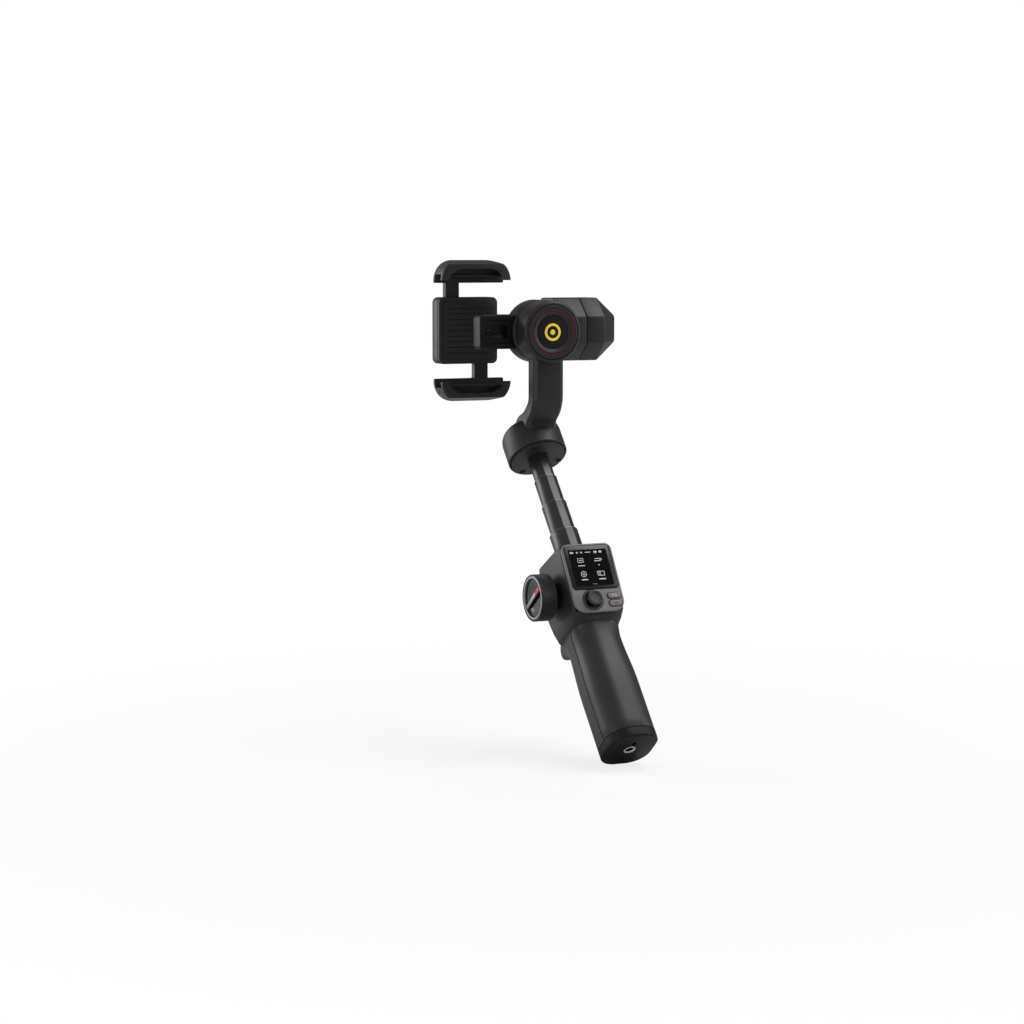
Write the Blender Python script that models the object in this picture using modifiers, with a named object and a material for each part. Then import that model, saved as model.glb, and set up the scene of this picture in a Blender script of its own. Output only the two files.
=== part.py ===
"""Handheld three-axis phone gimbal: grip, telescopic rod, three motors and a rack-and-pinion clamp.

Units are metres, +Z is up. The origin is the centre of the tripod socket in the end face of the
handle. The handle and the rod lean away from the viewer; the clamp is level.
"""
import math

import bmesh
import bpy
from mathutils import Matrix, Vector

# Fits
CLEAR = 0.0003              # gap that touching pieces keep
OVER = 0.004                # how far a cutter runs past the face it cuts

# Handle grip
LEAN_DEG = 40.0             # handle and pan axis, measured from the vertical
GRIP_HALF_WIDTH = 0.0186
GRIP_HALF_DEPTH = 0.0198
GRIP_CORNER = 0.0145
GRIP_WAIST = 0.0012         # how much slimmer the grip is below the head
GRIP_TOP = 0.092            # height of the upper edge of the front cover
COVER_DIP = 0.016           # how far that edge drops on its way back to the seam
COVER_SLANT = 0.012         # depth over which it drops
SEAM_Y = -0.003             # parting plane between front cover and handle shell
END_CAP_HEIGHT = 0.007
END_CAP_CHAMFER = 0.0014
SPIGOT_HEIGHT = 0.003
EDGE = 0.0007               # small edge radius on mouldings
INSERT_RADIUS = 0.0041
INSERT_BORE_RADIUS = 0.003175
INSERT_LENGTH = 0.0075
PIN_HOLE_RADIUS = 0.0016
PIN_HOLE_OFFSET = 0.0079    # locating hole of the tripod plate, ahead of the socket
BATTERY_RADIUS = 0.0091
BATTERY_LENGTH = 0.065

# Control head and panel
HEAD_HALF_WIDTH = 0.0195
HEAD_BACK = 0.0222          # how far the head reaches behind the grip axis
HEAD_CORNER = 0.007
HEAD_FRONT_CORNER = 0.0012
PANEL_TILT_DEG = 8.9
PANEL_OVERHANG = 0.0052     # panel foot ahead of the grip front
PANEL_RISE = 0.0035         # panel foot above the grip cover
PANEL_LENGTH = 0.0516
PANEL_WIDTH = 0.0386
PANEL_THICKNESS = 0.0024
PANEL_TOP_CORNER = 0.0050
PANEL_FOOT_CORNER = 0.0088
GLASS_WIDTH = 0.0354
GLASS_TOP = 0.0015          # glass below the panel's upper edge
CONTROL_STRIP = 0.0169      # strip below the glass that holds stick and buttons
GLASS_THICKNESS = 0.0012
GLASS_CORNER = 0.003
BOARD_WIDTH = 0.0352
BOARD_INSET = 0.0025        # board ends inside the panel's ends
BOARD_THICKNESS = 0.0016
BOARD_GAP = 0.0056          # panel back to board front

# Joystick, buttons, trigger and port
STICK_X = -0.0046
STICK_UP = 0.0090           # stick centre above the panel's lower edge
BEZEL_RADIUS = 0.0076
BEZEL_BORE = 0.0060
BEZEL_PROUD = 0.0004
STICK_CAP_RADIUS = 0.0054
STICK_CAP_HEIGHT = 0.0026
STICK_CAP_RISE = 0.0028     # underside of the cap above the panel face
STICK_STEM_RADIUS = 0.0020
STICK_PIVOT_DEPTH = 0.0050
YOKE_RADIUS = 0.0050
YOKE_BORE = 0.0034
YOKE_THICKNESS = 0.0028
TRUNNION_RADIUS = 0.0006
BUTTON_WIDTH = 0.0098
BUTTON_HEIGHT = 0.0040
BUTTON_X = 0.0120
BUTTON_UPS = {"mode_button": 0.0112, "record_button": 0.0056}
BUTTON_PROUD = 0.0009
BUTTON_FLANGE = 0.0008      # how far the hidden flange reaches past the button
BUTTON_FLANGE_THICKNESS = 0.0008
TRIGGER_HALF_WIDTH = 0.0150
TRIGGER_LENGTH = 0.0145
TRIGGER_PROUD = 0.0085
TRIGGER_DEPTH = 0.0030
TRIGGER_PIN_RADIUS = 0.0011
TRIGGER_TRAVEL = 0.0030
PORT_WIDTH = 0.0092
PORT_HEIGHT = 0.0034
PORT_DEPTH = 0.0070
PORT_WALL = 0.0005

# Focus wheel on the left side of the head
WHEEL_RADIUS = 0.0164
WHEEL_WIDTH = 0.0127
WHEEL_RISE = 0.0275         # wheel axis above the panel foot
WHEEL_Y = -0.003
WHEEL_NECK_RADIUS = 0.0092
WHEEL_NECK_LENGTH = 0.0040
WHEEL_SHAFT_RADIUS = 0.0030
WHEEL_SHAFT_SEAT = 0.0080   # length of the axle inside the head
WHEEL_RECESS = 0.0026
TRIM_RADIUS = 0.0154
TRIM_WIDTH = 0.0018
TRIM_HEIGHT = 0.0022
DISH_THICKNESS = 0.0008
POINTER_WIDTH = 0.0030
POINTER_THICKNESS = 0.0010
POINTER_ANGLE_DEG = -90.0

# Telescopic rod, from the head upwards
ROD_OFFSET = 0.009          # rod axis ahead of the grip axis
ROD_WALL = 0.00045
ROD_RADII = (0.01025, 0.0090, 0.00825, 0.0075)
ROD_SHOWN = (0.0210, 0.0245, 0.0220, 0.0200)
ROD_NAMES = ("rod_outer_tube", "rod_lower_tube", "rod_middle_tube", "rod_upper_tube")
ROD_OVERLAP = 0.008
ROD_SEAT = 0.016            # length of the outer tube inside the head
ROD_FLAT = 0.0004           # depth of the flat that keys the tubes

# Motors: pan, roll and tilt share the same inner parts
MOTOR_BOSS_RADIUS = 0.007
MOTOR_BOSS_LENGTH = 0.009
BEARING_RADIUS = 0.005
BEARING_WIDTH = 0.005
SHAFT_RADIUS = 0.003
STATOR_RADIUS = 0.0145
STATOR_LENGTH = 0.0078
MAGNET_INNER = 0.0150
MAGNET_OUTER = 0.0170
MAGNET_LENGTH = 0.0078
FLOOR = 0.003               # plate that carries a motor

# Pan joint and swing arm; Y and Z are level, from the roll axis at the front of the roll cap
PAN_SETBACK = 0.0259        # roll cap front to pan disc centre
ROLL_HEIGHT = 0.0906        # roll axis above the pan disc centre
PAN_RADIUS = 0.0217
PAN_RIM = 0.0011
PAN_HEIGHT = 0.026
PAN_SHELF = 0.0232          # level top of the bell at the front, above the disc centre
PAN_SCREW_RADIUS = 0.0022
PAN_SCREW_CIRCLE = 0.0168
PAN_VENT_WIDTH = 0.0010
ROLL_RADIUS = 0.0221
ROLL_DEPTH = 0.0178
ROLL_RIM = 0.0011
CAP_DEPTH = 0.0050
CAP_CHAMFER = 0.0012
ACCENT_RADIUS = 0.0160
ACCENT_WIDTH = 0.0008
CAP_DISC_RADIUS = 0.0118
CAP_DISH = 0.0012
ARM_HALF_WIDTH = 0.0120
ARM_FRONT = 0.0060
ARM_THICKNESS = 0.0115
ARM_BEND = 0.046            # straight length of the arm below the roll axis
ARM_CHAMFER = 0.003
ARM_COVER_HALF_WIDTH = 0.0085
ARM_COVER_LENGTH = 0.020
ARM_COVER_THICKNESS = 0.0014

# Roll-tilt arm
ROLL_GAP = 0.0007           # running gap between swing arm and roll-tilt arm
DRUM_DEPTH = 0.0168
DRUM_COVER_THICKNESS = 0.0018
ROTOR_WALL = 0.0018
TILT_SETBACK = 0.066        # tilt axis behind the roll cap front
TILT_LEFT = 0.0263
TILT_SEAM = 0.0478
TILT_APOTHEM = 0.0230
TILT_WALL = 0.0031
TILT_FLOOR = 0.0045
CAP_BARREL = 0.0145         # straight part of the tilt end cap
CAP_TAPER = 0.0145          # length of the faceted part
CAP_END_HALF = 0.0103
CAP_END_CHAMFER = 0.0018
MODULE_REACH = 0.0475       # far end of the sensor module, left of the roll axis
MODULE_HALF_HEIGHT = 0.0122
MODULE_DEPTH = 0.012
MODULE_INSET = 0.0025       # module front behind the drum front
MODULE_CORNER = 0.0028
LENS_RADIUS = 0.0021
LENS_X = 0.0409
WINDOW_HALF_HEIGHT = 0.0042
WINDOW_LEFT = 0.0364
WINDOW_RIGHT = 0.0266
WINDOW_THICKNESS = 0.0012

# Phone clamp; X and Z from the tilt axis and the roll axis
CLAMP_X = -0.039            # middle of the clamp
PHONE_HALF = 0.0385         # half the height of the held phone
PHONE_BACK = 0.0592         # rear of the phone behind the roll cap front
CHANNEL = 0.0106            # inner depth of the jaws
HUB_RADIUS = 0.013
HUB_THICKNESS = 0.0020
BAR_HALF_HEIGHT = 0.009
BAR_THICKNESS = 0.0105
BASE_HALF_WIDTH = 0.023
BASE_END = 0.001            # wall that closes a rack channel
BASE_DEPTH = 0.0105
PLATE_THICKNESS = 0.0024
PAD_THICKNESS = 0.0009
JAW_HALF_WIDTH = 0.027
JAW_TOP_HALF_WIDTH = 0.0185
JAW_HEIGHT = 0.0122         # outer top of a jaw above the phone edge
JAW_LIP = 0.0029            # thickness of the front hoop
JAW_BACK = 0.0031           # thickness of the rear wall
JAW_LIP_REACH = 0.0022      # hoop feet over the phone edge
JAW_BACK_REACH = 0.0042
JAW_BAND = 0.0062           # height of the hoop band
JAW_FOOT = 0.0085           # width of a hoop foot
JAW_PAD = 0.0018
JAW_SLANT = 0.0030          # hoop below the top of the rear wall
STEM_WIDTH = 0.0105
STEM_DEPTH = 0.0052
JAW_CLOSING = 0.0095        # jaw travel inwards from rest
JAW_MARGIN = 0.0008         # what is left between jaw and base when closed
GEAR_TEETH = 10
GEAR_MODULE = 0.001
GEAR_ADDENDUM = 0.0008
GEAR_DEDENDUM = 0.0011
GEAR_BACKLASH = 0.00022     # taken off each tooth's thickness
GEAR_WIDTH = 0.0028
PRESSURE_DEG = 20.0
RACK_TEETH_BELOW = 3
RACK_TEETH_ABOVE = 4
POST_RADIUS = 0.0018
SPRING_RADIUS = 0.0030
SPRING_WIRE = 0.0003
SPRING_TURNS = 2.5

# Worked out from the sizes above
LEAN = math.radians(LEAN_DEG)
TILT = math.radians(PANEL_TILT_DEG)
SLOPE = math.tan(TILT)
PANEL_FOOT_Y = -(GRIP_HALF_DEPTH + PANEL_OVERHANG)
PANEL_FOOT_Z = GRIP_TOP + PANEL_RISE
PANEL_TOP_Y = PANEL_FOOT_Y - PANEL_LENGTH * math.sin(TILT)
PANEL_TOP_Z = PANEL_FOOT_Z + PANEL_LENGTH * math.cos(TILT)
HEAD_TOP = PANEL_TOP_Z + (-ROD_OFFSET - PANEL_TOP_Y) * SLOPE
PAN_Z = HEAD_TOP + sum(ROD_SHOWN)
WHEEL_Z = PANEL_FOOT_Z + WHEEL_RISE
TRIGGER_PIN_Z = GRIP_TOP + 0.0045
CUP_BACK = ROLL_DEPTH + ROLL_GAP
DRUM_BACK = CUP_BACK + DRUM_DEPTH
PITCH_RADIUS = GEAR_TEETH * GEAR_MODULE / 2
BOARD_BACK = PANEL_THICKNESS + BOARD_GAP + BOARD_THICKNESS
BOARD_LENGTH = PANEL_LENGTH - 2 * BOARD_INSET
BASE_HALF_HEIGHT = PHONE_HALF - JAW_BACK_REACH - JAW_CLOSING - JAW_MARGIN
STEM_TAIL = BASE_HALF_HEIGHT - BASE_END - JAW_CLOSING - JAW_MARGIN

ALONG_X = Matrix.Rotation(math.pi / 2, 4, "Y")
ALONG_Y = Matrix.Rotation(-math.pi / 2, 4, "X")

FINISHES = {
    "charcoal": ((0.030, 0.030, 0.031), 0.55, 0.0),
    "grip": ((0.040, 0.043, 0.045), 0.48, 0.0),
    "black": ((0.012, 0.012, 0.012), 0.60, 0.0),
    "panel": ((0.095, 0.095, 0.097), 0.45, 0.0),
    "glass": ((0.006, 0.006, 0.007), 0.05, 0.0),
    "rod": ((0.028, 0.028, 0.029), 0.38, 0.4),
    "rubber": ((0.030, 0.030, 0.030), 0.85, 0.0),
    "steel": ((0.56, 0.56, 0.55), 0.28, 1.0),
    "silver": ((0.42, 0.42, 0.42), 0.32, 0.9),
    "dark_red": ((0.10, 0.010, 0.016), 0.50, 0.0),
    "board": ((0.010, 0.060, 0.028), 0.60, 0.0),
    "copper": ((0.45, 0.17, 0.06), 0.40, 1.0),
    "magnet": ((0.16, 0.16, 0.17), 0.35, 1.0),
    "cell": ((0.05, 0.12, 0.24), 0.45, 0.0),
    "brass": ((0.60, 0.42, 0.14), 0.35, 1.0),
}


def clear_scene():
    for obj in list(bpy.data.objects):
        bpy.data.objects.remove(obj, do_unlink=True)


def collection(name):
    made = bpy.data.collections.new(name)
    bpy.context.scene.collection.children.link(made)
    return made


clear_scene()
PARTS = collection("phone_gimbal")
GUIDES = collection("cutters_and_axes")


def finish(name, key):
    colour, roughness, metallic = FINISHES[key]
    material = bpy.data.materials.new(name + "_finish")
    material.use_nodes = True
    shader = material.node_tree.nodes["Principled BSDF"]
    shader.inputs["Base Color"].default_value = (*colour, 1.0)
    shader.inputs["Roughness"].default_value = roughness
    shader.inputs["Metallic"].default_value = metallic
    return material


def axis_empty(name, parent=None, matrix=None):
    """An empty on a joint's axis or at a working frame; pieces are parented to it."""
    empty = bpy.data.objects.new(name, None)
    GUIDES.objects.link(empty)
    empty.parent = parent
    empty.matrix_local = matrix or Matrix()
    return empty


def place(name, mesh, frame, key=None):
    """Link a mesh as a piece with its finish, or as a hidden cutter where it has none."""
    parent, matrix = frame
    obj = bpy.data.objects.new(name, mesh)
    obj.parent = parent
    obj.matrix_local = matrix
    if key:
        PARTS.objects.link(obj)
        mesh.materials.append(finish(name, key))
    else:
        GUIDES.objects.link(obj)
        obj.hide_render = True
        obj.display_type = "WIRE"
    return obj


def to_mesh(name, bm):
    bmesh.ops.recalc_face_normals(bm, faces=bm.faces)
    mesh = bpy.data.meshes.new(name)
    bm.to_mesh(mesh)
    bm.free()
    mesh.shade_smooth()
    mesh.set_sharp_from_angle(angle=math.radians(35))
    return mesh


def block(name, low, high, frame, key=None):
    """A box between two corners."""
    size = Vector(high) - Vector(low)
    middle = (Vector(high) + Vector(low)) / 2
    bm = bmesh.new()
    bmesh.ops.create_cube(bm, size=1.0, matrix=Matrix.LocRotScale(middle, None, size))
    return place(name, to_mesh(name, bm), frame, key)


def rod(name, radius, low, high, frame, key=None, segments=24):
    """A cylinder along the frame's own Z axis."""
    bm = bmesh.new()
    bmesh.ops.create_cone(bm, cap_ends=True, segments=segments, radius1=radius, radius2=radius,
                          depth=high - low, matrix=Matrix.Translation((0, 0, (low + high) / 2)))
    return place(name, to_mesh(name, bm), frame, key)


def turned(name, profile, frame, key=None, segments=28):
    """A profile of (radius, height) points turned about the frame's own Z axis by a Screw modifier."""
    area = sum(a[0] * b[1] - b[0] * a[1] for a, b in zip(profile, profile[1:] + profile[:1]))
    ordered = profile if area < 0 else profile[::-1]
    closed = all(radius > 0 for radius, height in ordered)
    if not closed:
        while ordered[0][0] > 0 or ordered[-1][0] > 0:
            ordered = ordered[1:] + ordered[:1]
    bm = bmesh.new()
    verts = [bm.verts.new((radius, 0, height)) for radius, height in ordered]
    ends = verts[1:] + verts[:1] if closed else verts[1:]
    for start, end in zip(verts, ends):
        bm.edges.new((start, end))
    mesh = bpy.data.meshes.new(name)
    bm.to_mesh(mesh)
    bm.free()
    obj = place(name, mesh, frame, key)
    screw = obj.modifiers.new("turn", "SCREW")
    screw.steps = segments
    screw.render_steps = segments
    screw.use_merge_vertices = True
    screw.merge_threshold = 0.00001
    screw.use_smooth_shade = True
    return obj


def ring(inner, outer, low, high):
    """Profile of a plain ring for turned()."""
    return [(inner, high), (outer, high), (outer, low), (inner, low)]


def disc(radius, low, high):
    """Profile of a plain disc for turned()."""
    return [(0, high), (radius, high), (radius, low), (0, low)]


def filleted(corners, steps=4):
    """Outline through corners given as (a, b, radius), with each corner an arc."""
    points = []
    count = len(corners)
    for index, (a, b, radius) in enumerate(corners):
        here = Vector((a, b))
        before = Vector(corners[index - 1][:2]) - here
        after = Vector(corners[(index + 1) % count][:2]) - here
        half = before.angle(after) / 2
        if radius <= 0 or half < 0.01:
            points.append(here)
            continue
        reach = min(radius / math.tan(half), 0.49 * before.length, 0.49 * after.length)
        radius = reach * math.tan(half)
        centre = here + (before.normalized() + after.normalized()).normalized() * radius / math.sin(half)
        start = here + before.normalized() * reach - centre
        turn = start.angle_signed(here + after.normalized() * reach - centre)
        for step in range(steps + 1):
            points.append(centre + Matrix.Rotation(-turn * step / steps, 2) @ start)
    return [tuple(point) for point in points]


def rounded_box(half_a, low_b, high_b, radius, steps=4):
    """Outline of a rectangle with round corners, even about a = 0."""
    return filleted([(-half_a, low_b, radius), (half_a, low_b, radius),
                     (half_a, high_b, radius), (-half_a, high_b, radius)], steps)


def prism(name, outline, low, high, axis, frame, key=None):
    """An outline extruded along X, Y or Z between two heights."""
    spots = {"X": lambda a, b, c: (c, a, b), "Y": lambda a, b, c: (a, c, b), "Z": lambda a, b, c: (a, b, c)}
    spot = spots[axis]
    bm = bmesh.new()
    face = bm.faces.new([bm.verts.new(spot(a, b, low)) for a, b in outline])
    grown = bmesh.ops.extrude_face_region(bm, geom=[face])
    top = [item for item in grown["geom"] if isinstance(item, bmesh.types.BMVert)]
    bmesh.ops.translate(bm, verts=top, vec=spot(0, 0, high - low))
    return place(name, to_mesh(name, bm), frame, key)


def loft(name, sections, frame, key=None):
    """A skin through sections of equal point counts, with flat ends."""
    bm = bmesh.new()
    rings = [[bm.verts.new(point) for point in section] for section in sections]
    for lower, upper in zip(rings, rings[1:]):
        for index in range(len(lower)):
            follow = (index + 1) % len(lower)
            bm.faces.new((lower[index], lower[follow], upper[follow], upper[index]))
    bm.faces.new(rings[0][::-1])
    bm.faces.new(rings[-1])
    return place(name, to_mesh(name, bm), frame, key)


def combine(target, other, operation):
    modifier = target.modifiers.new(operation.lower(), "BOOLEAN")
    modifier.operation = operation
    modifier.object = other
    return target


def cut(target, *cutters):
    for cutter in cutters:
        combine(target, cutter, "DIFFERENCE")
    return target


def fuse(target, *others):
    for other in others:
        combine(target, other, "UNION")
    return target


def soften(obj, width, segments=1, angle=40):
    """Break the sharp edges of a piece; comes before its cuts."""
    bevel = obj.modifiers.new("soften", "BEVEL")
    bevel.width = width
    bevel.segments = segments
    bevel.limit_method = "ANGLE"
    bevel.angle_limit = math.radians(angle)
    return obj


def shifted(frame, x=0.0, y=0.0, z=0.0, turn=None):
    """The same parent with a frame moved by x, y, z and then turned."""
    parent, matrix = frame
    return parent, matrix @ Matrix.Translation((x, y, z)) @ (turn or Matrix())


# Axes and frames
handle_axis = axis_empty("handle_axis", None, Matrix.Rotation(-LEAN, 4, "X"))
HANDLE = (handle_axis, Matrix())
panel_axis = axis_empty("panel_axis", handle_axis, Matrix.Translation((0, PANEL_FOOT_Y, PANEL_FOOT_Z))
                        @ Matrix.Rotation(math.pi / 2 + TILT, 4, "X"))
PANEL = (panel_axis, Matrix())
stick_axis = axis_empty("stick_axis", panel_axis, Matrix.Translation((STICK_X, STICK_UP, -STICK_PIVOT_DEPTH)))
STICK = (stick_axis, Matrix())
trigger_axis = axis_empty("trigger_axis", handle_axis)
wheel_axis = axis_empty("wheel_axis", handle_axis, Matrix.Translation((-HEAD_HALF_WIDTH, WHEEL_Y, WHEEL_Z))
                        @ Matrix.Rotation(-math.pi / 2, 4, "Y"))
WHEEL = (wheel_axis, Matrix())
rod_axis = axis_empty("rod_axis", handle_axis, Matrix.Translation((0, -ROD_OFFSET, 0)))
ROD = (rod_axis, Matrix())
pan_axis = axis_empty("pan_axis", rod_axis, Matrix.Translation((0, 0, PAN_Z)))
PAN = (pan_axis, Matrix())
level = Matrix.Rotation(LEAN, 4, "X") @ Matrix.Translation((0, -PAN_SETBACK, ROLL_HEIGHT))
ARM = (pan_axis, level)
roll_axis = axis_empty("roll_axis", pan_axis, level)
ROLL = (roll_axis, Matrix())
tilt_axis = axis_empty("tilt_axis", roll_axis, Matrix.Translation((0, TILT_SETBACK, 0)))
CLAMP = (tilt_axis, Matrix.Translation((0, -TILT_SETBACK, 0)))


def handle_section(half_width, front, back, corners, height, slope=0.0, steps=4):
    """One cross-section of the handle, with front and back corner radii; it may slope with the head."""
    near, far = corners
    outline = filleted([(-half_width, front, near), (half_width, front, near),
                        (half_width, back, far), (-half_width, back, far)], steps)
    return [(x, y, height + (y + ROD_OFFSET) * slope) for x, y in outline]


def handle_outer(name, key=None):
    """The outer form of grip and head in one skin, behind the control panel."""
    set_back = (PANEL_THICKNESS + CLEAR) / math.cos(TILT)

    def face(height, slope):
        """Depth at which a section of this height and slope meets the plane behind the panel."""
        rise = height + ROD_OFFSET * slope - PANEL_FOOT_Z
        return (PANEL_FOOT_Y + set_back - rise * SLOPE) / (1 + SLOPE * slope)

    slim = GRIP_HALF_WIDTH - GRIP_WAIST
    head = PANEL_TOP_Z - PANEL_FOOT_Z
    shoulder = PANEL_FOOT_Z + 0.16 * head
    belly = PANEL_FOOT_Z + 0.42 * head
    nape = PANEL_FOOT_Z + 0.78 * head
    bottom = END_CAP_HEIGHT + CLEAR
    waist = GRIP_TOP - 0.12 * GRIP_TOP
    grip = (GRIP_CORNER, GRIP_CORNER)
    neck = (0.8 * GRIP_CORNER, 0.8 * GRIP_CORNER)
    head_corners = (HEAD_FRONT_CORNER, HEAD_CORNER)
    sections = [
        handle_section(GRIP_HALF_WIDTH, -GRIP_HALF_DEPTH, GRIP_HALF_DEPTH, grip, bottom),
        handle_section(GRIP_HALF_WIDTH, -GRIP_HALF_DEPTH, GRIP_HALF_DEPTH, grip, GRIP_TOP / 2),
        handle_section(slim, GRIP_WAIST - GRIP_HALF_DEPTH, GRIP_HALF_DEPTH - GRIP_WAIST, grip, waist),
        handle_section(slim, 0.5 * GRIP_WAIST - GRIP_HALF_DEPTH, GRIP_HALF_DEPTH - 2 * GRIP_WAIST, neck,
                       GRIP_TOP - 0.0005),
        handle_section(HEAD_HALF_WIDTH - 0.0004, face(PANEL_FOOT_Z, 0), GRIP_HALF_DEPTH - GRIP_WAIST,
                       head_corners, PANEL_FOOT_Z),
        handle_section(HEAD_HALF_WIDTH, face(shoulder, SLOPE / 3), HEAD_BACK - 0.0016, head_corners, shoulder,
                       SLOPE / 3),
        handle_section(HEAD_HALF_WIDTH, face(belly, SLOPE / 2), HEAD_BACK, head_corners, belly, SLOPE / 2),
        handle_section(HEAD_HALF_WIDTH, face(nape, SLOPE), HEAD_BACK - 0.0030, head_corners, nape, SLOPE),
        handle_section(HEAD_HALF_WIDTH - 0.0008, face(HEAD_TOP, SLOPE), HEAD_BACK - 0.0095, head_corners,
                       HEAD_TOP, SLOPE),
    ]
    return soften(loft(name, sections, HANDLE, key), EDGE, angle=60)


def build_handle():
    """Shells, inner parts and end cap of the handle."""
    shell = handle_outer("handle_shell", "charcoal")
    cover = handle_outer("grip_front_cover", "grip")
    far = HEAD_HALF_WIDTH + OVER
    front = prism("cut_front", cover_side(CLEAR / 2), -far, far, "X", HANDLE)
    keep = prism("keep_front", cover_side(-CLEAR / 2), -far, far, "X", HANDLE)
    spigot_top = END_CAP_HEIGHT + SPIGOT_HEIGHT
    cell_low = spigot_top + CLEAR
    bay_radius = BATTERY_RADIUS + CLEAR
    bay = rod("cut_bay", bay_radius, -OVER, cell_low + BATTERY_LENGTH + CLEAR, HANDLE)
    bore = prism("cut_rod_seat", keyed_circle(ROD_RADII[0] + CLEAR), HEAD_TOP - ROD_SEAT - CLEAR,
                 HEAD_TOP + HEAD_BACK, "Z", ROD)
    pocket = block("cut_board", (-BOARD_WIDTH / 2 - CLEAR, BOARD_INSET - CLEAR, -BOARD_BACK - CLEAR),
                   (BOARD_WIDTH / 2 + CLEAR, BOARD_INSET + BOARD_LENGTH + CLEAR, OVER), PANEL)
    axle = rod("cut_axle", WHEEL_SHAFT_RADIUS + CLEAR, -WHEEL_SHAFT_SEAT - CLEAR, OVER, WHEEL)
    slot, pin = trigger_cutters()
    port = prism("cut_port", port_outline(CLEAR), HEAD_HALF_WIDTH - PORT_DEPTH - CLEAR,
                 HEAD_HALF_WIDTH + OVER, "X", HANDLE)
    cut(shell, front, bay, bore, pocket, axle, slot, pin, port)
    combine(cover, keep, "INTERSECT")
    cut(cover, bay)

    rod("battery_cell", BATTERY_RADIUS, cell_low, cell_low + BATTERY_LENGTH, HANDLE, "cell")
    block("main_board", (-BOARD_WIDTH / 2, BOARD_INSET, -BOARD_BACK),
          (BOARD_WIDTH / 2, BOARD_INSET + BOARD_LENGTH, -BOARD_BACK + BOARD_THICKNESS), PANEL, "board")
    shell_of_port = prism("charge_port", port_outline(0), HEAD_HALF_WIDTH - PORT_DEPTH,
                          HEAD_HALF_WIDTH - CLEAR, "X", HANDLE, "steel")
    cut(shell_of_port, prism("cut_port_mouth", port_outline(-PORT_WALL), HEAD_HALF_WIDTH - PORT_DEPTH
                             + PORT_WALL, HEAD_HALF_WIDTH + OVER, "X", HANDLE))
    build_end_cap(spigot_top)


def cover_side(grow):
    """The front cover's room in the handle's Y and Z; its upper edge drops back to the seam."""
    front = -GRIP_HALF_DEPTH - OVER
    back = SEAM_Y + grow
    top = GRIP_TOP + grow
    return [(front, -OVER), (back, -OVER), (back, top - COVER_DIP), (back - COVER_SLANT, top), (front, top)]


def build_end_cap(spigot_top):
    """Cap with the tripod insert, the locating hole and a spigot that closes the battery bay."""
    inset = END_CAP_CHAMFER
    corners = (GRIP_CORNER, GRIP_CORNER)
    sections = [
        handle_section(GRIP_HALF_WIDTH - inset, inset - GRIP_HALF_DEPTH, GRIP_HALF_DEPTH - inset,
                       (GRIP_CORNER - inset, GRIP_CORNER - inset), 0),
        handle_section(GRIP_HALF_WIDTH, -GRIP_HALF_DEPTH, GRIP_HALF_DEPTH, corners, inset),
        handle_section(GRIP_HALF_WIDTH, -GRIP_HALF_DEPTH, GRIP_HALF_DEPTH, corners, END_CAP_HEIGHT),
    ]
    cap = loft("end_cap", sections, HANDLE, "black")
    fuse(cap, rod("add_spigot", BATTERY_RADIUS, END_CAP_HEIGHT / 2, spigot_top, HANDLE))
    cut(cap, rod("cut_insert", INSERT_RADIUS + CLEAR, -OVER, INSERT_LENGTH + CLEAR, HANDLE))
    hole = shifted(HANDLE, y=-PIN_HOLE_OFFSET)
    cut(cap, rod("cut_pin_hole", PIN_HOLE_RADIUS, -OVER, END_CAP_HEIGHT / 2, hole, segments=16))
    turned("tripod_insert", ring(INSERT_BORE_RADIUS, INSERT_RADIUS, 0, INSERT_LENGTH), HANDLE, "steel", 20)


def port_outline(grow):
    """Outline of the charge port in the handle's Y and Z."""
    half = PORT_HEIGHT / 2 + grow
    low = WHEEL_Z - PORT_WIDTH / 2 - grow
    high = WHEEL_Z + PORT_WIDTH / 2 + grow
    return [(y + WHEEL_Y, z) for y, z in rounded_box(half, low, high, half, 3)]


def build_panel():
    """Tilted control panel with its glass, joystick bezel and base, and two buttons."""
    half = PANEL_WIDTH / 2
    outline = filleted([(-half, 0, PANEL_FOOT_CORNER), (half, 0, PANEL_FOOT_CORNER),
                        (half, PANEL_LENGTH, PANEL_TOP_CORNER), (-half, PANEL_LENGTH, PANEL_TOP_CORNER)])
    panel = prism("control_panel", outline, -PANEL_THICKNESS, 0, "Z", PANEL, "panel")
    soften(panel, EDGE)
    glass_high = PANEL_LENGTH - GLASS_TOP
    glass_low = CONTROL_STRIP
    glass = prism("display_glass", rounded_box(GLASS_WIDTH / 2, glass_low, glass_high, GLASS_CORNER),
                  -GLASS_THICKNESS, 0, "Z", PANEL, "glass")
    soften(glass, EDGE / 3)
    seat = rounded_box(GLASS_WIDTH / 2 + CLEAR, glass_low - CLEAR, glass_high + CLEAR, GLASS_CORNER)
    cut(panel, prism("cut_glass", seat, -GLASS_THICKNESS - CLEAR, OVER, "Z", PANEL))
    bezel_frame = shifted(PANEL, STICK_X, STICK_UP)
    cut(panel, rod("cut_bezel", BEZEL_RADIUS + CLEAR, -PANEL_THICKNESS - OVER, OVER, bezel_frame))
    bezel = [(BEZEL_BORE + EDGE, BEZEL_PROUD), (BEZEL_RADIUS - EDGE, BEZEL_PROUD), (BEZEL_RADIUS, 0),
             (BEZEL_RADIUS, -PANEL_THICKNESS), (BEZEL_BORE, -PANEL_THICKNESS), (BEZEL_BORE, 0)]
    turned("joystick_bezel", bezel, bezel_frame, "black", 20)
    build_joystick()
    for name, up in BUTTON_UPS.items():
        build_button(name, up, panel)


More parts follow.
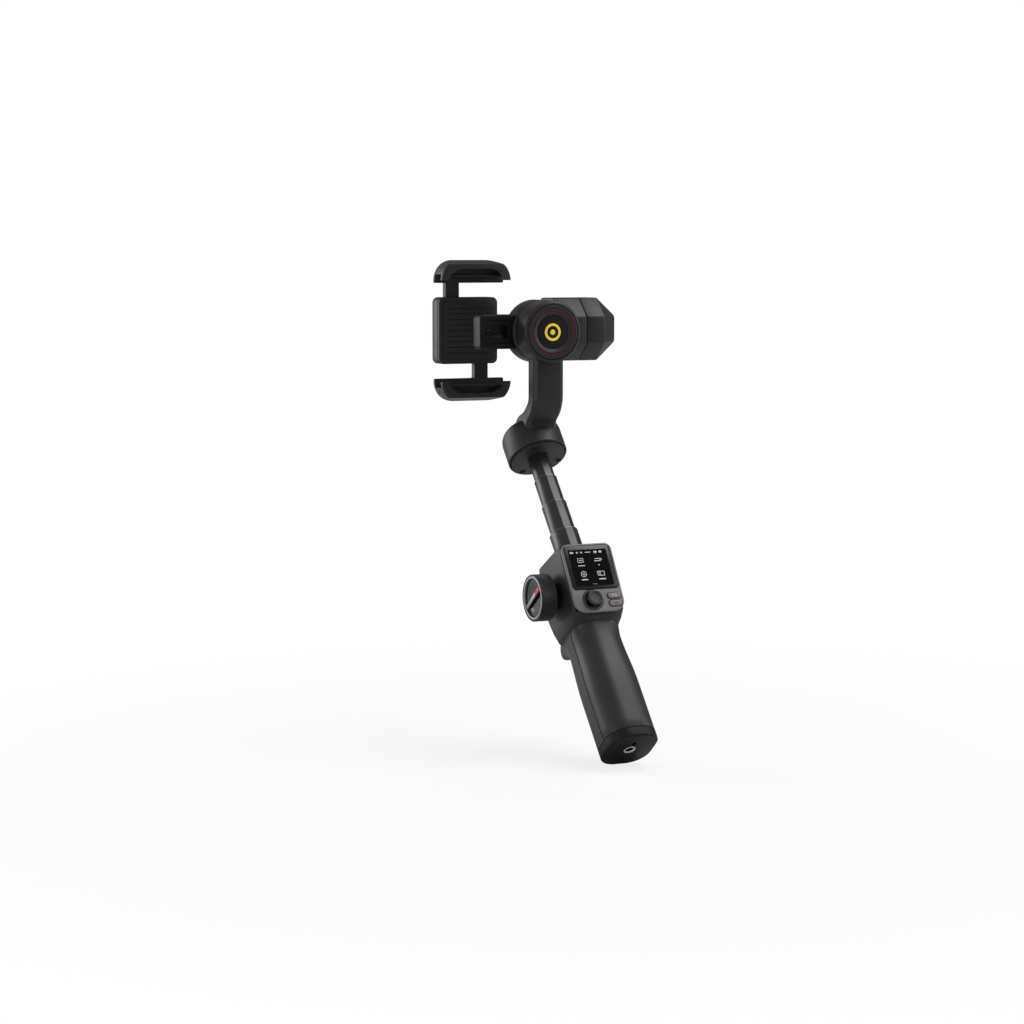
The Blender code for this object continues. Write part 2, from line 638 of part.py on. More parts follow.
def build_button(name, up, panel):
    """A pill button with a hidden flange that keeps it in the panel."""
    frame = shifted(PANEL, BUTTON_X, up)
    half = BUTTON_HEIGHT / 2

    def pill(grow):
        return rounded_box(BUTTON_WIDTH / 2 + grow, -half - grow, half + grow, half + grow)

    button = prism(name, pill(0), -PANEL_THICKNESS - CLEAR - BUTTON_FLANGE_THICKNESS / 2, BUTTON_PROUD, "Z",
                   frame, "panel")
    soften(button, EDGE / 2)
    flange_top = -PANEL_THICKNESS - CLEAR
    fuse(button, prism("add_flange_" + name, pill(BUTTON_FLANGE / 2), flange_top - BUTTON_FLANGE_THICKNESS,
                       flange_top, "Z", frame))
    cut(panel, prism("cut_" + name, pill(CLEAR), -PANEL_THICKNESS - OVER, OVER, "Z", frame))


def build_joystick():
    """Base on the board, a yoke that turns in it about X, and a stick that turns in the yoke about Y."""
    floor = STICK_PIVOT_DEPTH - PANEL_THICKNESS - BOARD_GAP
    roof = STICK_PIVOT_DEPTH - PANEL_THICKNESS - CLEAR
    wall = YOKE_RADIUS + CLEAR
    side = wall + 0.0009
    base = block("joystick_base", (-side, -side, floor + CLEAR), (side, side, roof), STICK, "black")
    cut(base, rod("cut_base", wall, floor - OVER, roof + OVER, STICK))
    cut(base, rod("cut_base_pins", TRUNNION_RADIUS + CLEAR, -side - OVER, side + OVER,
                  shifted(STICK, turn=ALONG_X), segments=12))
    half = YOKE_THICKNESS / 2
    yoke = turned("joystick_yoke", ring(YOKE_BORE, YOKE_RADIUS, -half, half), STICK, "steel", 16)
    middle = (YOKE_BORE + YOKE_RADIUS) / 2
    for sign in (-1, 1):
        low, high = sorted((sign * middle, sign * side))
        fuse(yoke, rod("add_yoke_pin", TRUNNION_RADIUS, low, high, shifted(STICK, turn=ALONG_X), segments=12))
    cut(yoke, rod("cut_yoke", TRUNNION_RADIUS + CLEAR, -YOKE_RADIUS - OVER, YOKE_RADIUS + OVER,
                  shifted(STICK, turn=ALONG_Y), segments=12))
    under = STICK_PIVOT_DEPTH + STICK_CAP_RISE
    top = under + STICK_CAP_HEIGHT
    dish = STICK_CAP_RADIUS - 0.0014
    profile = [(0, top - EDGE), (dish, top - EDGE / 2), (STICK_CAP_RADIUS - EDGE, top),
               (STICK_CAP_RADIUS, top - EDGE), (STICK_CAP_RADIUS, under + EDGE),
               (STICK_CAP_RADIUS - EDGE, under), (STICK_STEM_RADIUS, under),
               (STICK_STEM_RADIUS, -YOKE_THICKNESS / 2), (0, -YOKE_THICKNESS / 2)]
    stick = turned("joystick_stick", profile, STICK, "charcoal", 16)
    fuse(stick, rod("add_stick_pins", TRUNNION_RADIUS, -YOKE_RADIUS + CLEAR, YOKE_RADIUS - CLEAR,
                    shifted(STICK, turn=ALONG_Y), segments=12))


def trigger_frame():
    return shifted(HANDLE, y=trigger_pin_y(), z=TRIGGER_PIN_Z)


def trigger_pin_y():
    """Pin of the trigger, under the skin of the handle's back."""
    return GRIP_HALF_DEPTH - 2 * GRIP_WAIST - TRIGGER_DEPTH


def trigger_cutters():
    """Slot in the handle for the trigger and the hole for its pin."""
    frame = trigger_frame()
    side = TRIGGER_HALF_WIDTH + CLEAR
    slot = block("cut_trigger", (-side, -TRIGGER_DEPTH / 2 - TRIGGER_TRAVEL, -TRIGGER_LENGTH - 0.0012),
                 (side, GRIP_HALF_DEPTH, TRIGGER_DEPTH + 2 * CLEAR), frame)
    hole = rod("cut_trigger_pin", TRIGGER_PIN_RADIUS + CLEAR, -trigger_pin_half() - CLEAR,
               trigger_pin_half() + CLEAR, shifted(frame, turn=ALONG_X), segments=16)
    return slot, hole


def trigger_pin_half():
    return TRIGGER_HALF_WIDTH + 0.0022


def build_trigger():
    """Curved trigger lever on a pin at its upper end."""
    frame = trigger_frame()
    trigger_axis.matrix_local = frame[1]
    low = -TRIGGER_LENGTH
    inner = -TRIGGER_DEPTH / 2
    proud = TRIGGER_DEPTH + TRIGGER_PROUD
    outline = filleted([
        (inner, TRIGGER_DEPTH, 0.001), (TRIGGER_DEPTH, TRIGGER_DEPTH, 0.002), (0.86 * proud, 0.22 * low, 0.004),
        (proud, 0.58 * low, 0.005), (0.72 * proud, low, 0.003), (inner, low, 0.0008)])
    lever = prism("trigger", outline, -TRIGGER_HALF_WIDTH, TRIGGER_HALF_WIDTH, "X", (trigger_axis, Matrix()),
                  "charcoal")
    soften(lever, EDGE, angle=60)
    turned_frame = shifted(frame, turn=ALONG_X)
    cut(lever, rod("cut_lever_pin", TRIGGER_PIN_RADIUS + CLEAR, -GRIP_HALF_WIDTH, GRIP_HALF_WIDTH,
                   turned_frame, segments=16))
    rod("trigger_pin", TRIGGER_PIN_RADIUS, -trigger_pin_half(), trigger_pin_half(), turned_frame, "steel", 16)


def build_wheel():
    """Focus wheel on a shouldered axle in the head's left side."""
    neck = WHEEL_NECK_LENGTH + CLEAR
    low = neck + CLEAR
    high = low + WHEEL_WIDTH
    floor = high - WHEEL_RECESS
    shaft_end = floor - 2 * CLEAR - 0.002
    axle = [(0, shaft_end), (WHEEL_SHAFT_RADIUS, shaft_end), (WHEEL_SHAFT_RADIUS, neck),
            (WHEEL_NECK_RADIUS, neck), (WHEEL_NECK_RADIUS, CLEAR), (WHEEL_SHAFT_RADIUS, CLEAR),
            (WHEEL_SHAFT_RADIUS, -WHEEL_SHAFT_SEAT), (0, -WHEEL_SHAFT_SEAT)]
    turned("wheel_axle", axle, WHEEL, "black", 20)
    bore = WHEEL_SHAFT_RADIUS + CLEAR
    recess = TRIM_RADIUS + CLEAR
    wheel = [(0, floor), (recess, floor), (recess, high), (WHEEL_RADIUS - EDGE / 2, high),
             (WHEEL_RADIUS, high - EDGE), (WHEEL_RADIUS, low + 2 * EDGE), (WHEEL_RADIUS - 2 * EDGE, low),
             (bore, low), (bore, shaft_end + CLEAR), (0, shaft_end + CLEAR)]
    turned("focus_wheel", wheel, WHEEL, "charcoal", 32)
    seat = floor + CLEAR
    inner = TRIM_RADIUS - TRIM_WIDTH
    turned("wheel_trim_ring", ring(inner, TRIM_RADIUS, seat, seat + TRIM_HEIGHT), WHEEL, "silver", 28)
    dish = inner - CLEAR
    turned("wheel_dish", disc(dish, seat, seat + DISH_THICKNESS), WHEEL, "glass", 28)
    top = seat + DISH_THICKNESS + CLEAR
    turn = Matrix.Rotation(math.radians(POINTER_ANGLE_DEG), 4, "Z")
    bar = shifted(WHEEL, turn=turn)
    half = POINTER_WIDTH / 2
    reach = math.sqrt(dish ** 2 - half ** 2) - CLEAR
    block("wheel_pointer", (-reach, -half, top), (reach, half, top + POINTER_THICKNESS), bar, "silver")


def keyed_circle(radius, segments=24):
    """Circle with a flat towards the front; the flat keeps the rod's tubes from turning."""
    flat = radius - ROD_FLAT
    edge = math.acos(flat / radius)
    points = []
    for step in range(segments + 1):
        angle = -math.pi / 2 + edge + (2 * math.pi - 2 * edge) * step / segments
        points.append((radius * math.cos(angle), radius * math.sin(angle)))
    return points


def build_rod():
    """Four nested tubes; each runs on the flat of the next."""
    top = HEAD_TOP
    for index, (name, radius, shown) in enumerate(zip(ROD_NAMES, ROD_RADII, ROD_SHOWN)):
        low = top - (ROD_OVERLAP if index else ROD_SEAT)
        top += shown
        high = top - CLEAR
        tube = prism(name, keyed_circle(radius), low, high, "Z", ROD, "rod")
        bore = ROD_RADII[index + 1] + CLEAR if index + 1 < len(ROD_RADII) else radius - ROD_WALL
        cut(tube, prism("cut_" + name, keyed_circle(bore), low - OVER, high + OVER, "Z", ROD))


def motor(frame, base, names, shaft_low, shaft_high):
    """Stator, bearing, magnet ring and shaft of one motor, on a boss that starts at height base."""
    stator, bearing, magnets, shaft = names
    low = base + CLEAR
    eye = MOTOR_BOSS_RADIUS + CLEAR
    turned(stator, ring(eye, STATOR_RADIUS, low, low + STATOR_LENGTH), frame, "copper", 16)
    turned(bearing, ring(SHAFT_RADIUS + CLEAR, BEARING_RADIUS, low, low + BEARING_WIDTH), frame, "steel", 16)
    turned(magnets, ring(MAGNET_INNER, MAGNET_OUTER, low, low + MAGNET_LENGTH), frame, "magnet", 16)
    rod(shaft, SHAFT_RADIUS, shaft_low, shaft_high, frame, "steel", 16)


def boss(base):
    """Profile of the boss that carries a stator outside and a bearing inside."""
    return ring(BEARING_RADIUS + CLEAR, MOTOR_BOSS_RADIUS, base - FLOOR / 2, base + MOTOR_BOSS_LENGTH)


def build_pan():
    """Base disc on the rod with its screw sinks and vents, and the inner parts of the pan motor."""
    disc_radius = PAN_RADIUS - PAN_RIM - CLEAR
    base = turned("pan_base_disc", [(0, FLOOR), (disc_radius, FLOOR), (disc_radius, EDGE),
                                    (disc_radius - EDGE, 0), (0, 0)], PAN, "charcoal", 32)
    fuse(base, turned("add_pan_boss", boss(FLOOR), PAN, segments=20))
    sink = FLOOR / 2
    for side, angle in (("left", 144), ("right", 36)):
        turn = Matrix.Rotation(math.radians(angle), 4, "Z")
        spot = shifted((PAN[0], PAN[1] @ turn), x=PAN_SCREW_CIRCLE)
        cut(base, rod("cut_screw_" + side, PAN_SCREW_RADIUS, -OVER, sink, spot, segments=16))
    for step in (-1, 0, 1):
        x = step * 2.2 * PAN_VENT_WIDTH
        cut(base, block("cut_vent", (x - PAN_VENT_WIDTH / 2, -0.0155, -OVER),
                        (x + PAN_VENT_WIDTH / 2, -0.0135, FLOOR / 2), PAN))
    motor(PAN, FLOOR, ("pan_stator", "pan_bearing", "pan_magnet_ring", "pan_shaft"), FLOOR + CLEAR,
          pan_roof() + FLOOR)


def pan_roof():
    """Inner roof of the pan bell above the disc face."""
    return FLOOR + MOTOR_BOSS_LENGTH + 2 * CLEAR


def build_swing_arm():
    """Pan bell, swan neck, arm and roll cup as one moulding, with its rear cover."""
    back = ARM_FRONT + ARM_THICKNESS
    shelf = PAN_SHELF - ROLL_HEIGHT
    chamfer = ARM_CHAMFER
    arm = loft("swing_arm", arm_sections(back, shelf, chamfer), ARM, "charcoal")
    cup = turned("add_roll_cup", [(0, 0), (ROLL_RADIUS - CAP_CHAMFER, 0), (ROLL_RADIUS, CAP_CHAMFER),
                                  (ROLL_RADIUS, ROLL_DEPTH), (0, ROLL_DEPTH)],
                 shifted(ARM, turn=ALONG_Y), segments=32)
    bell = turned("add_pan_bell", [(0, PAN_HEIGHT), (PAN_RADIUS - 0.004, PAN_HEIGHT),
                                   (PAN_RADIUS, PAN_HEIGHT - 0.004), (PAN_RADIUS, -EDGE),
                                   (0, -EDGE)], PAN, segments=32)
    reach = 4 * PAN_RADIUS
    shelf_end = PAN_SETBACK + 0.2 * PAN_RADIUS
    cut(bell, block("cut_shelf", (-reach, -reach, shelf), (reach, shelf_end, reach), ARM))
    fuse(arm, cup, bell)

    rim = PAN_RADIUS - PAN_RIM
    room = MAGNET_OUTER + CLEAR
    roof = pan_roof()
    step = FLOOR + CLEAR
    hollow = [(0, roof), (room, roof), (room, step), (rim, step), (rim, -OVER), (0, -OVER)]
    cut(arm, turned("cut_bell", hollow, PAN, segments=32))
    cut(arm, rod("cut_pan_shaft", SHAFT_RADIUS + CLEAR, 0, roof + FLOOR + CLEAR, PAN))

    across = shifted(ARM, turn=ALONG_Y)
    mouth = ROLL_RADIUS - ROLL_RIM
    web = CAP_DEPTH + 2 * CLEAR
    cut(arm, rod("cut_cap_seat", mouth, -OVER, web, across, segments=32))
    floor = web + FLOOR
    cavity = rod("cut_roll_cavity", roll_room(), floor, ROLL_DEPTH + OVER, across, segments=24)
    cut(cavity, turned("keep_roll_boss", boss(floor), across, segments=20))
    cut(arm, cavity)
    cut(arm, rod("cut_roll_bearing", BEARING_RADIUS + CLEAR, floor, ROLL_DEPTH + OVER, across))

    half = ARM_COVER_HALF_WIDTH
    high = -ROLL_RADIUS - 0.0015
    low = high - ARM_COVER_LENGTH
    seat = back - ARM_COVER_THICKNESS
    plate = rounded_box(half, low, high, 0.002, 3)
    grown = rounded_box(half + CLEAR, low - CLEAR, high + CLEAR, 0.002, 3)
    cut(arm, prism("cut_arm_cover", grown, seat - CLEAR, back + OVER, "Y", ARM))
    soften(prism("arm_rear_cover", plate, seat, back, "Y", ARM, "black"), EDGE / 2)


def roll_room():
    """Radius of the roll motor's room in the cup, around the rotor wall of the roll-tilt arm."""
    return MAGNET_OUTER + ROTOR_WALL + 2 * CLEAR


def arm_sections(back, shelf, chamfer):
    """Cross-sections of the arm from inside the roll cup down the swan neck into the pan bell."""

    def section(front, rear, half, nose, low_front, low_rear):
        outline = [(-half, rear), (-half, front + nose), (-half + nose, front), (half - nose, front),
                   (half, front + nose), (half, rear)]
        span = rear - front
        return [(x, y, low_front + (low_rear - low_front) * (y - front) / span) for x, y in outline]

    wide = ARM_HALF_WIDTH
    bend = -ARM_BEND
    drop = shelf - bend
    sink = 0.006
    bell_back = PAN_SETBACK + 0.55 * PAN_RADIUS
    bell_front = PAN_SETBACK - 0.30 * PAN_RADIUS
    return [
        section(ARM_FRONT, back, wide, chamfer, -0.55 * ROLL_RADIUS, -0.55 * ROLL_RADIUS),
        section(ARM_FRONT, back, wide, chamfer, bend, bend),
        section(ARM_FRONT + 0.0012, back + 0.0020, wide, chamfer, bend + 0.30 * drop, bend + 0.12 * drop),
        section(ARM_FRONT + 0.0045, back + 0.0070, wide, chamfer, bend + 0.62 * drop, bend + 0.24 * drop),
        section(ARM_FRONT + 0.0105, bell_back - 0.0080, wide, chamfer, bend + 0.95 * drop,
                bend + 0.40 * drop),
        section(bell_front, bell_back, wide, chamfer, shelf - sink, bend + 0.62 * drop),
        section(bell_front + 0.0060, bell_back + 0.0060, wide, chamfer, shelf - 1.6 * sink,
                shelf - 0.8 * sink),
    ]


def build_roll():
    """Front cap with its rings, and the inner parts of the roll motor."""
    across = shifted(ARM, turn=ALONG_Y)
    radius = ROLL_RADIUS - ROLL_RIM - CLEAR
    outer = ACCENT_RADIUS + ACCENT_WIDTH / 2 + CLEAR
    inner = ACCENT_RADIUS - ACCENT_WIDTH / 2 - CLEAR
    groove = 0.001
    seat = CAP_DISC_RADIUS + CLEAR
    dish = CAP_DISH
    sunk = dish + 0.0012
    profile = [(0, sunk), (seat, sunk), (seat, dish), (inner - 0.0008, 0), (inner, 0), (inner, groove),
               (outer, groove), (outer, 0), (radius - CAP_CHAMFER, 0), (radius, CAP_CHAMFER),
               (radius, CAP_DEPTH), (0, CAP_DEPTH)]
    turned("roll_cap", profile, across, "charcoal", 32)
    turned("cap_accent_ring", ring(inner + CLEAR, outer - CLEAR, 0, groove - CLEAR), across, "dark_red", 32)
    turned("cap_centre_disc", [(0, dish), (CAP_DISC_RADIUS - EDGE, dish), (CAP_DISC_RADIUS, dish + EDGE),
                               (CAP_DISC_RADIUS, sunk - CLEAR), (0, sunk - CLEAR)], across, "black", 28)
    web = CAP_DEPTH + 2 * CLEAR + FLOOR
    motor(across, web, ("roll_stator", "roll_bearing", "roll_magnet_ring", "roll_shaft"), web + CLEAR,
          CUP_BACK + FLOOR)


def octagon(apothem):
    """Octagon in Y and Z about the tilt axis, with a flat to the front."""
    radius = apothem / math.cos(math.pi / 8)
    turns = [math.pi / 8 + math.pi / 4 * step for step in range(8)]
    return [(TILT_SETBACK + radius * math.cos(turn), radius * math.sin(turn)) for turn in turns]


def build_roll_tilt_arm():
    """Drum behind the roll cup, slanted bridge and faceted tilt housing as one moulding."""
    radius = ROLL_RADIUS + 0.0004
    bevel = 2 * EDGE
    arm = turned("roll_tilt_arm", [(0, CUP_BACK), (radius - bevel, CUP_BACK), (radius, CUP_BACK + bevel),
                                   (radius, DRUM_BACK - bevel), (radius - bevel, DRUM_BACK), (0, DRUM_BACK)],
                 shifted(ROLL, turn=ALONG_Y), "charcoal", 40)
    front = TILT_SETBACK - TILT_APOTHEM
    root = radius - 0.002
    bridge = [(0.004, CUP_BACK + 0.005), (root, CUP_BACK + 0.003), (TILT_SEAM - 0.0058, front + 0.001),
              (TILT_SEAM - 0.0058, front + 0.014), (TILT_LEFT + 0.001, front + 0.014),
              (TILT_LEFT + 0.001, front - 0.002), (root - 0.003, DRUM_BACK - 0.003)]
    height = 0.4 * TILT_APOTHEM
    span = prism("add_bridge", bridge, -height, height, "Z", ROLL)
    housing = prism("add_tilt_housing", octagon(TILT_APOTHEM), TILT_LEFT, TILT_SEAM, "X", ROLL)
    wall = ring(MAGNET_OUTER + CLEAR, MAGNET_OUTER + CLEAR + ROTOR_WALL,
                CAP_DEPTH + 4 * CLEAR + FLOOR, CUP_BACK + FLOOR / 2)
    across = shifted(ROLL, turn=ALONG_Y)
    rotor = turned("add_rotor_wall", wall, across, segments=24)
    fuse(arm, span, housing, rotor)

    cut(arm, rod("cut_roll_shaft", SHAFT_RADIUS + CLEAR, 0, CUP_BACK + FLOOR + CLEAR, across))
    side = shifted(ROLL, y=TILT_SETBACK, turn=ALONG_X)
    floor = TILT_LEFT + TILT_FLOOR
    room = rod("cut_tilt_room", TILT_APOTHEM - TILT_WALL, floor, TILT_SEAM + OVER, side, segments=24)
    cut(room, turned("keep_tilt_boss", boss(floor), side, segments=20))
    cut(arm, room)
    cut(arm, rod("cut_tilt_bearing", BEARING_RADIUS + CLEAR, floor, TILT_SEAM, side))
    cut(arm, rod("cut_tilt_shaft", SHAFT_RADIUS + CLEAR, TILT_LEFT - OVER, TILT_SEAM, side))
    plate = MAGNET_OUTER
    cut(arm, rod("cut_drum_cover", plate + CLEAR, DRUM_BACK - DRUM_COVER_THICKNESS - CLEAR, DRUM_BACK + OVER,
                 across, segments=24))
    inside = DRUM_BACK - DRUM_COVER_THICKNESS
    turned("drum_rear_cover", [(0, DRUM_BACK), (plate - EDGE, DRUM_BACK), (plate, DRUM_BACK - EDGE),
                               (plate, inside), (0, inside)], across, "black", 24)
    build_tilt_cap()
    build_module(radius)


def build_tilt_cap():
    """Faceted end cap: an octagonal barrel that tapers to a squarer end."""
    near = TILT_SEAM + CLEAR
    shoulder = TILT_SEAM + CAP_BARREL
    far = shoulder + CAP_TAPER
    half = CAP_END_HALF
    small = half - CAP_END_CHAMFER
    end = [(half, small), (small, half), (-small, half), (-half, small),
           (-half, -small), (-small, -half), (small, -half), (half, -small)]
    large = octagon(TILT_APOTHEM)
    sections = [[(near, y, z) for y, z in large], [(shoulder, y, z) for y, z in large],
                [(far, TILT_SETBACK + y, z) for y, z in end]]
    soften(loft("tilt_end_cap", sections, ROLL, "charcoal"), EDGE, angle=20)


def build_module(radius):
    """Sensor module on the left of the drum, with a lens and a window in its front."""
    front = CUP_BACK + MODULE_INSET
    outline = filleted([(-MODULE_REACH, -MODULE_HALF_HEIGHT, MODULE_CORNER), (0, -MODULE_HALF_HEIGHT, 0),
                        (0, MODULE_HALF_HEIGHT, 0), (-MODULE_REACH, MODULE_HALF_HEIGHT, MODULE_CORNER)])
    module = prism("sensor_module", outline, front, front + MODULE_DEPTH, "Y", ROLL, "charcoal")
    soften(module, EDGE)
    across = shifted(ROLL, turn=ALONG_Y)
    cut(module, rod("cut_module_root", radius + CLEAR, front - OVER, front + MODULE_DEPTH + OVER, across,
                    segments=40))
    spot = shifted(ROLL, x=-LENS_X, turn=ALONG_Y)
    cut(module, rod("cut_lens", LENS_RADIUS + CLEAR, front - OVER, front + WINDOW_THICKNESS + CLEAR, spot,
                    segments=20))
    rod("module_lens", LENS_RADIUS, front, front + WINDOW_THICKNESS, spot, "glass", 20)
    half = WINDOW_HALF_HEIGHT
    seat = (-WINDOW_LEFT - CLEAR, front - OVER, -half - CLEAR)
    cut(module, block("cut_window", seat, (-WINDOW_RIGHT + CLEAR, front + WINDOW_THICKNESS + CLEAR,
                                           half + CLEAR), ROLL))
    block("module_window", (-WINDOW_LEFT, front + CLEAR, -half),
          (-WINDOW_RIGHT, front + WINDOW_THICKNESS, half), ROLL, "glass")


def build_tilt_motor():
    """Inner parts of the tilt motor; the rotor, a bell on a shaft, turns with the clamp."""
    side = shifted(CLAMP, y=TILT_SETBACK, turn=ALONG_X)
    floor = TILT_LEFT + TILT_FLOOR
    bell_floor = floor + MOTOR_BOSS_LENGTH + 2 * CLEAR
    bell_top = bell_floor + 0.0016
    shaft_low = TILT_LEFT - CLEAR - HUB_THICKNESS / 2
    low = floor + CLEAR
    stator = shifted(ROLL, y=TILT_SETBACK, turn=ALONG_X)
    turned("tilt_stator", ring(MOTOR_BOSS_RADIUS + CLEAR, STATOR_RADIUS, low, low + STATOR_LENGTH), stator,
           "copper", 16)
    turned("tilt_bearing", ring(SHAFT_RADIUS + CLEAR, BEARING_RADIUS, low, low + BEARING_WIDTH), stator,
           "steel", 16)
    turned("tilt_magnet_ring", ring(MAGNET_INNER, MAGNET_OUTER, low, low + MAGNET_LENGTH), side, "magnet", 16)
    inner = MAGNET_OUTER + CLEAR
    outer = inner + ROTOR_WALL / 2
    rotor = [(0, bell_top), (outer, bell_top), (outer, low), (inner, low), (inner, bell_floor),
             (SHAFT_RADIUS, bell_floor), (SHAFT_RADIUS, shaft_low), (0, shaft_low)]
    turned("tilt_rotor", rotor, side, "steel", 20)


def base_front():
    """Front of the clamp base, behind pad and plate."""
    return PHONE_BACK + CLEAR + PAD_THICKNESS + CLEAR + PLATE_THICKNESS + CLEAR


def build_clamp():
    """Hub, arm, base with rack channels, plate and pad, pinion and spring."""
    hub_right = TILT_LEFT - CLEAR
    hub_left = hub_right - HUB_THICKNESS
    base_left = CLAMP_X - BASE_HALF_WIDTH
    base_right = CLAMP_X + BASE_HALF_WIDTH
    front = base_front()
    back = front + BASE_DEPTH
    bar_front = PHONE_BACK + 2 * CLEAR + PAD_THICKNESS
    side = shifted(CLAMP, y=TILT_SETBACK, turn=ALONG_X)
    arm = soften(block("clamp_arm", (base_right + CLEAR, bar_front, -BAR_HALF_HEIGHT),
                       (hub_right - HUB_THICKNESS / 3, bar_front + BAR_THICKNESS, BAR_HALF_HEIGHT), CLAMP,
                       "charcoal"), 2 * EDGE)
    fuse(arm, rod("add_hub", HUB_RADIUS, hub_left, hub_right, side, segments=36))
    cut(arm, rod("cut_hub", SHAFT_RADIUS + CLEAR, hub_right - HUB_THICKNESS / 2 - CLEAR, hub_right + OVER,
                 side))

    outline = rounded_box(BASE_HALF_WIDTH, -BASE_HALF_HEIGHT, BASE_HALF_HEIGHT, 0.004)
    outline = [(CLAMP_X + x, z) for x, z in outline]
    base = soften(prism("clamp_base", outline, front, back, "Y", CLAMP, "charcoal"), EDGE)
    depth = front + 0.0004 + STEM_DEPTH + 2 * CLEAR
    stop = BASE_HALF_HEIGHT - BASE_END
    for sign in (-1, 1):
        near = CLAMP_X + sign * (PITCH_RADIUS - GEAR_ADDENDUM - CLEAR)
        far = CLAMP_X + sign * (rack_root() + STEM_WIDTH + CLEAR)
        low, high = sorted((near, far))
        z_low, z_high = sorted((sign * stop, -sign * (BASE_HALF_HEIGHT + OVER)))
        cut(base, block("cut_channel", (low, front - OVER, z_low), (high, depth, z_high), CLAMP))
    spot = shifted(CLAMP, x=CLAMP_X, turn=ALONG_Y)
    pocket = PITCH_RADIUS + GEAR_ADDENDUM + 2 * CLEAR
    cut(base, turned("cut_pinion", ring(POST_RADIUS, pocket, front - OVER, depth), spot, segments=32))
    cut(base, rod("cut_post_end", POST_RADIUS * 2, front - OVER, front + CLEAR, spot))

    plate = rounded_box(BASE_HALF_WIDTH, -BASE_HALF_HEIGHT, BASE_HALF_HEIGHT, 0.004)
    plate = [(CLAMP_X + x, z) for x, z in plate]
    prism("clamp_front_plate", plate, front - CLEAR - PLATE_THICKNESS, front - CLEAR, "Y", CLAMP, "charcoal")
    inset = 0.003
    pad = rounded_box(BASE_HALF_WIDTH - inset, inset - BASE_HALF_HEIGHT, BASE_HALF_HEIGHT - inset, 0.003)
    pad = [(CLAMP_X + x, z) for x, z in pad]
    pad_front = PHONE_BACK + CLEAR
    sheet = prism("clamp_front_pad", pad, pad_front, pad_front + PAD_THICKNESS, "Y", CLAMP, "rubber")
    soften(sheet, EDGE / 3)

    pinion = prism("clamp_pinion", [(CLAMP_X + x, z) for x, z in gear_outline()], depth - CLEAR - GEAR_WIDTH,
                   depth - CLEAR, "Y", CLAMP, "brass")
    cut(pinion, rod("cut_pinion_bore", POST_RADIUS + CLEAR, front, depth + OVER, spot))
    build_spring(spot, front + CLEAR, depth - 2 * CLEAR - GEAR_WIDTH)


def build_spring(frame, low, high):
    """Torsion spring around the pinion post, one open tube."""
    turns = SPRING_TURNS
    steps = int(turns * 12)
    climb = high - low - 2 * SPRING_WIRE
    curve = bpy.data.curves.new("clamp_spring_path", "CURVE")
    curve.dimensions = "3D"
    curve.bevel_depth = SPRING_WIRE
    curve.bevel_resolution = 1
    curve.use_fill_caps = True
    spline = curve.splines.new("POLY")
    spline.points.add(steps)
    for index, point in enumerate(spline.points):
        angle = 2 * math.pi * turns * index / steps
        rise = low + SPRING_WIRE + climb * index / steps
        point.co = (SPRING_RADIUS * math.cos(angle), SPRING_RADIUS * math.sin(angle), rise, 1)
    path = bpy.data.objects.new("clamp_spring_path", curve)
    GUIDES.objects.link(path)
    bpy.context.view_layer.update()
    mesh = bpy.data.meshes.new_from_object(path.evaluated_get(bpy.context.evaluated_depsgraph_get()))
    bpy.data.objects.remove(path, do_unlink=True)
    bm = bmesh.new()
    bm.from_mesh(mesh)
    bmesh.ops.remove_doubles(bm, verts=bm.verts, dist=0.00001)
    place("clamp_spring", to_mesh("clamp_spring", bm), frame, "steel")


def gear_outline():
    """Involute pinion about (0, 0), with a gap at 0 and 180 degrees for the two racks."""
    pressure = math.radians(PRESSURE_DEG)
    base = PITCH_RADIUS * math.cos(pressure)
    tip = PITCH_RADIUS + GEAR_ADDENDUM
    root = PITCH_RADIUS - GEAR_DEDENDUM
    thickness = math.pi * GEAR_MODULE / 2 - GEAR_BACKLASH
    half = thickness / 2 / PITCH_RADIUS + math.tan(pressure) - pressure
    radii = [base, (base + tip) / 2, tip]
    points = []
    for tooth in range(GEAR_TEETH):
        middle = math.pi / GEAR_TEETH * (2 * tooth + 1)
        flank = []
        for radius in radii:
            lean = math.acos(base / radius)
            flank.append((radius, half - math.tan(lean) + lean))
        side = [(root, half)] + flank
        points += [(radius, middle - angle) for radius, angle in side]
        points += [(radius, middle + angle) for radius, angle in side[::-1]]
    return [(radius * math.cos(angle), radius * math.sin(angle)) for radius, angle in points]


def rack_root():
    """Distance of a rack's root line from the pinion axis."""
    return PITCH_RADIUS + GEAR_DEDENDUM


def stem_outline(sign):
    """Jaw stem in X and Z about the clamp middle; its rack faces the pinion. sign is +1 for the upper jaw."""
    slope = math.tan(math.radians(PRESSURE_DEG))
    pitch = math.pi * GEAR_MODULE
    half = (math.pi * GEAR_MODULE / 2 - GEAR_BACKLASH) / 2
    root = rack_root()
    tip = PITCH_RADIUS - GEAR_ADDENDUM
    tip_half = half - GEAR_ADDENDUM * slope
    root_half = half + GEAR_DEDENDUM * slope
    top = PHONE_HALF + JAW_HEIGHT / 2
    points = [(root, -STEM_TAIL)]
    for tooth in range(-RACK_TEETH_BELOW, RACK_TEETH_ABOVE + 1):
        middle = tooth * pitch
        points += [(root, middle - root_half), (tip, middle - tip_half), (tip, middle + tip_half),
                   (root, middle + root_half)]
    points += [(root, top), (root + STEM_WIDTH, top), (root + STEM_WIDTH, -STEM_TAIL)]
    return [(CLAMP_X - sign * x, sign * z) for x, z in points]


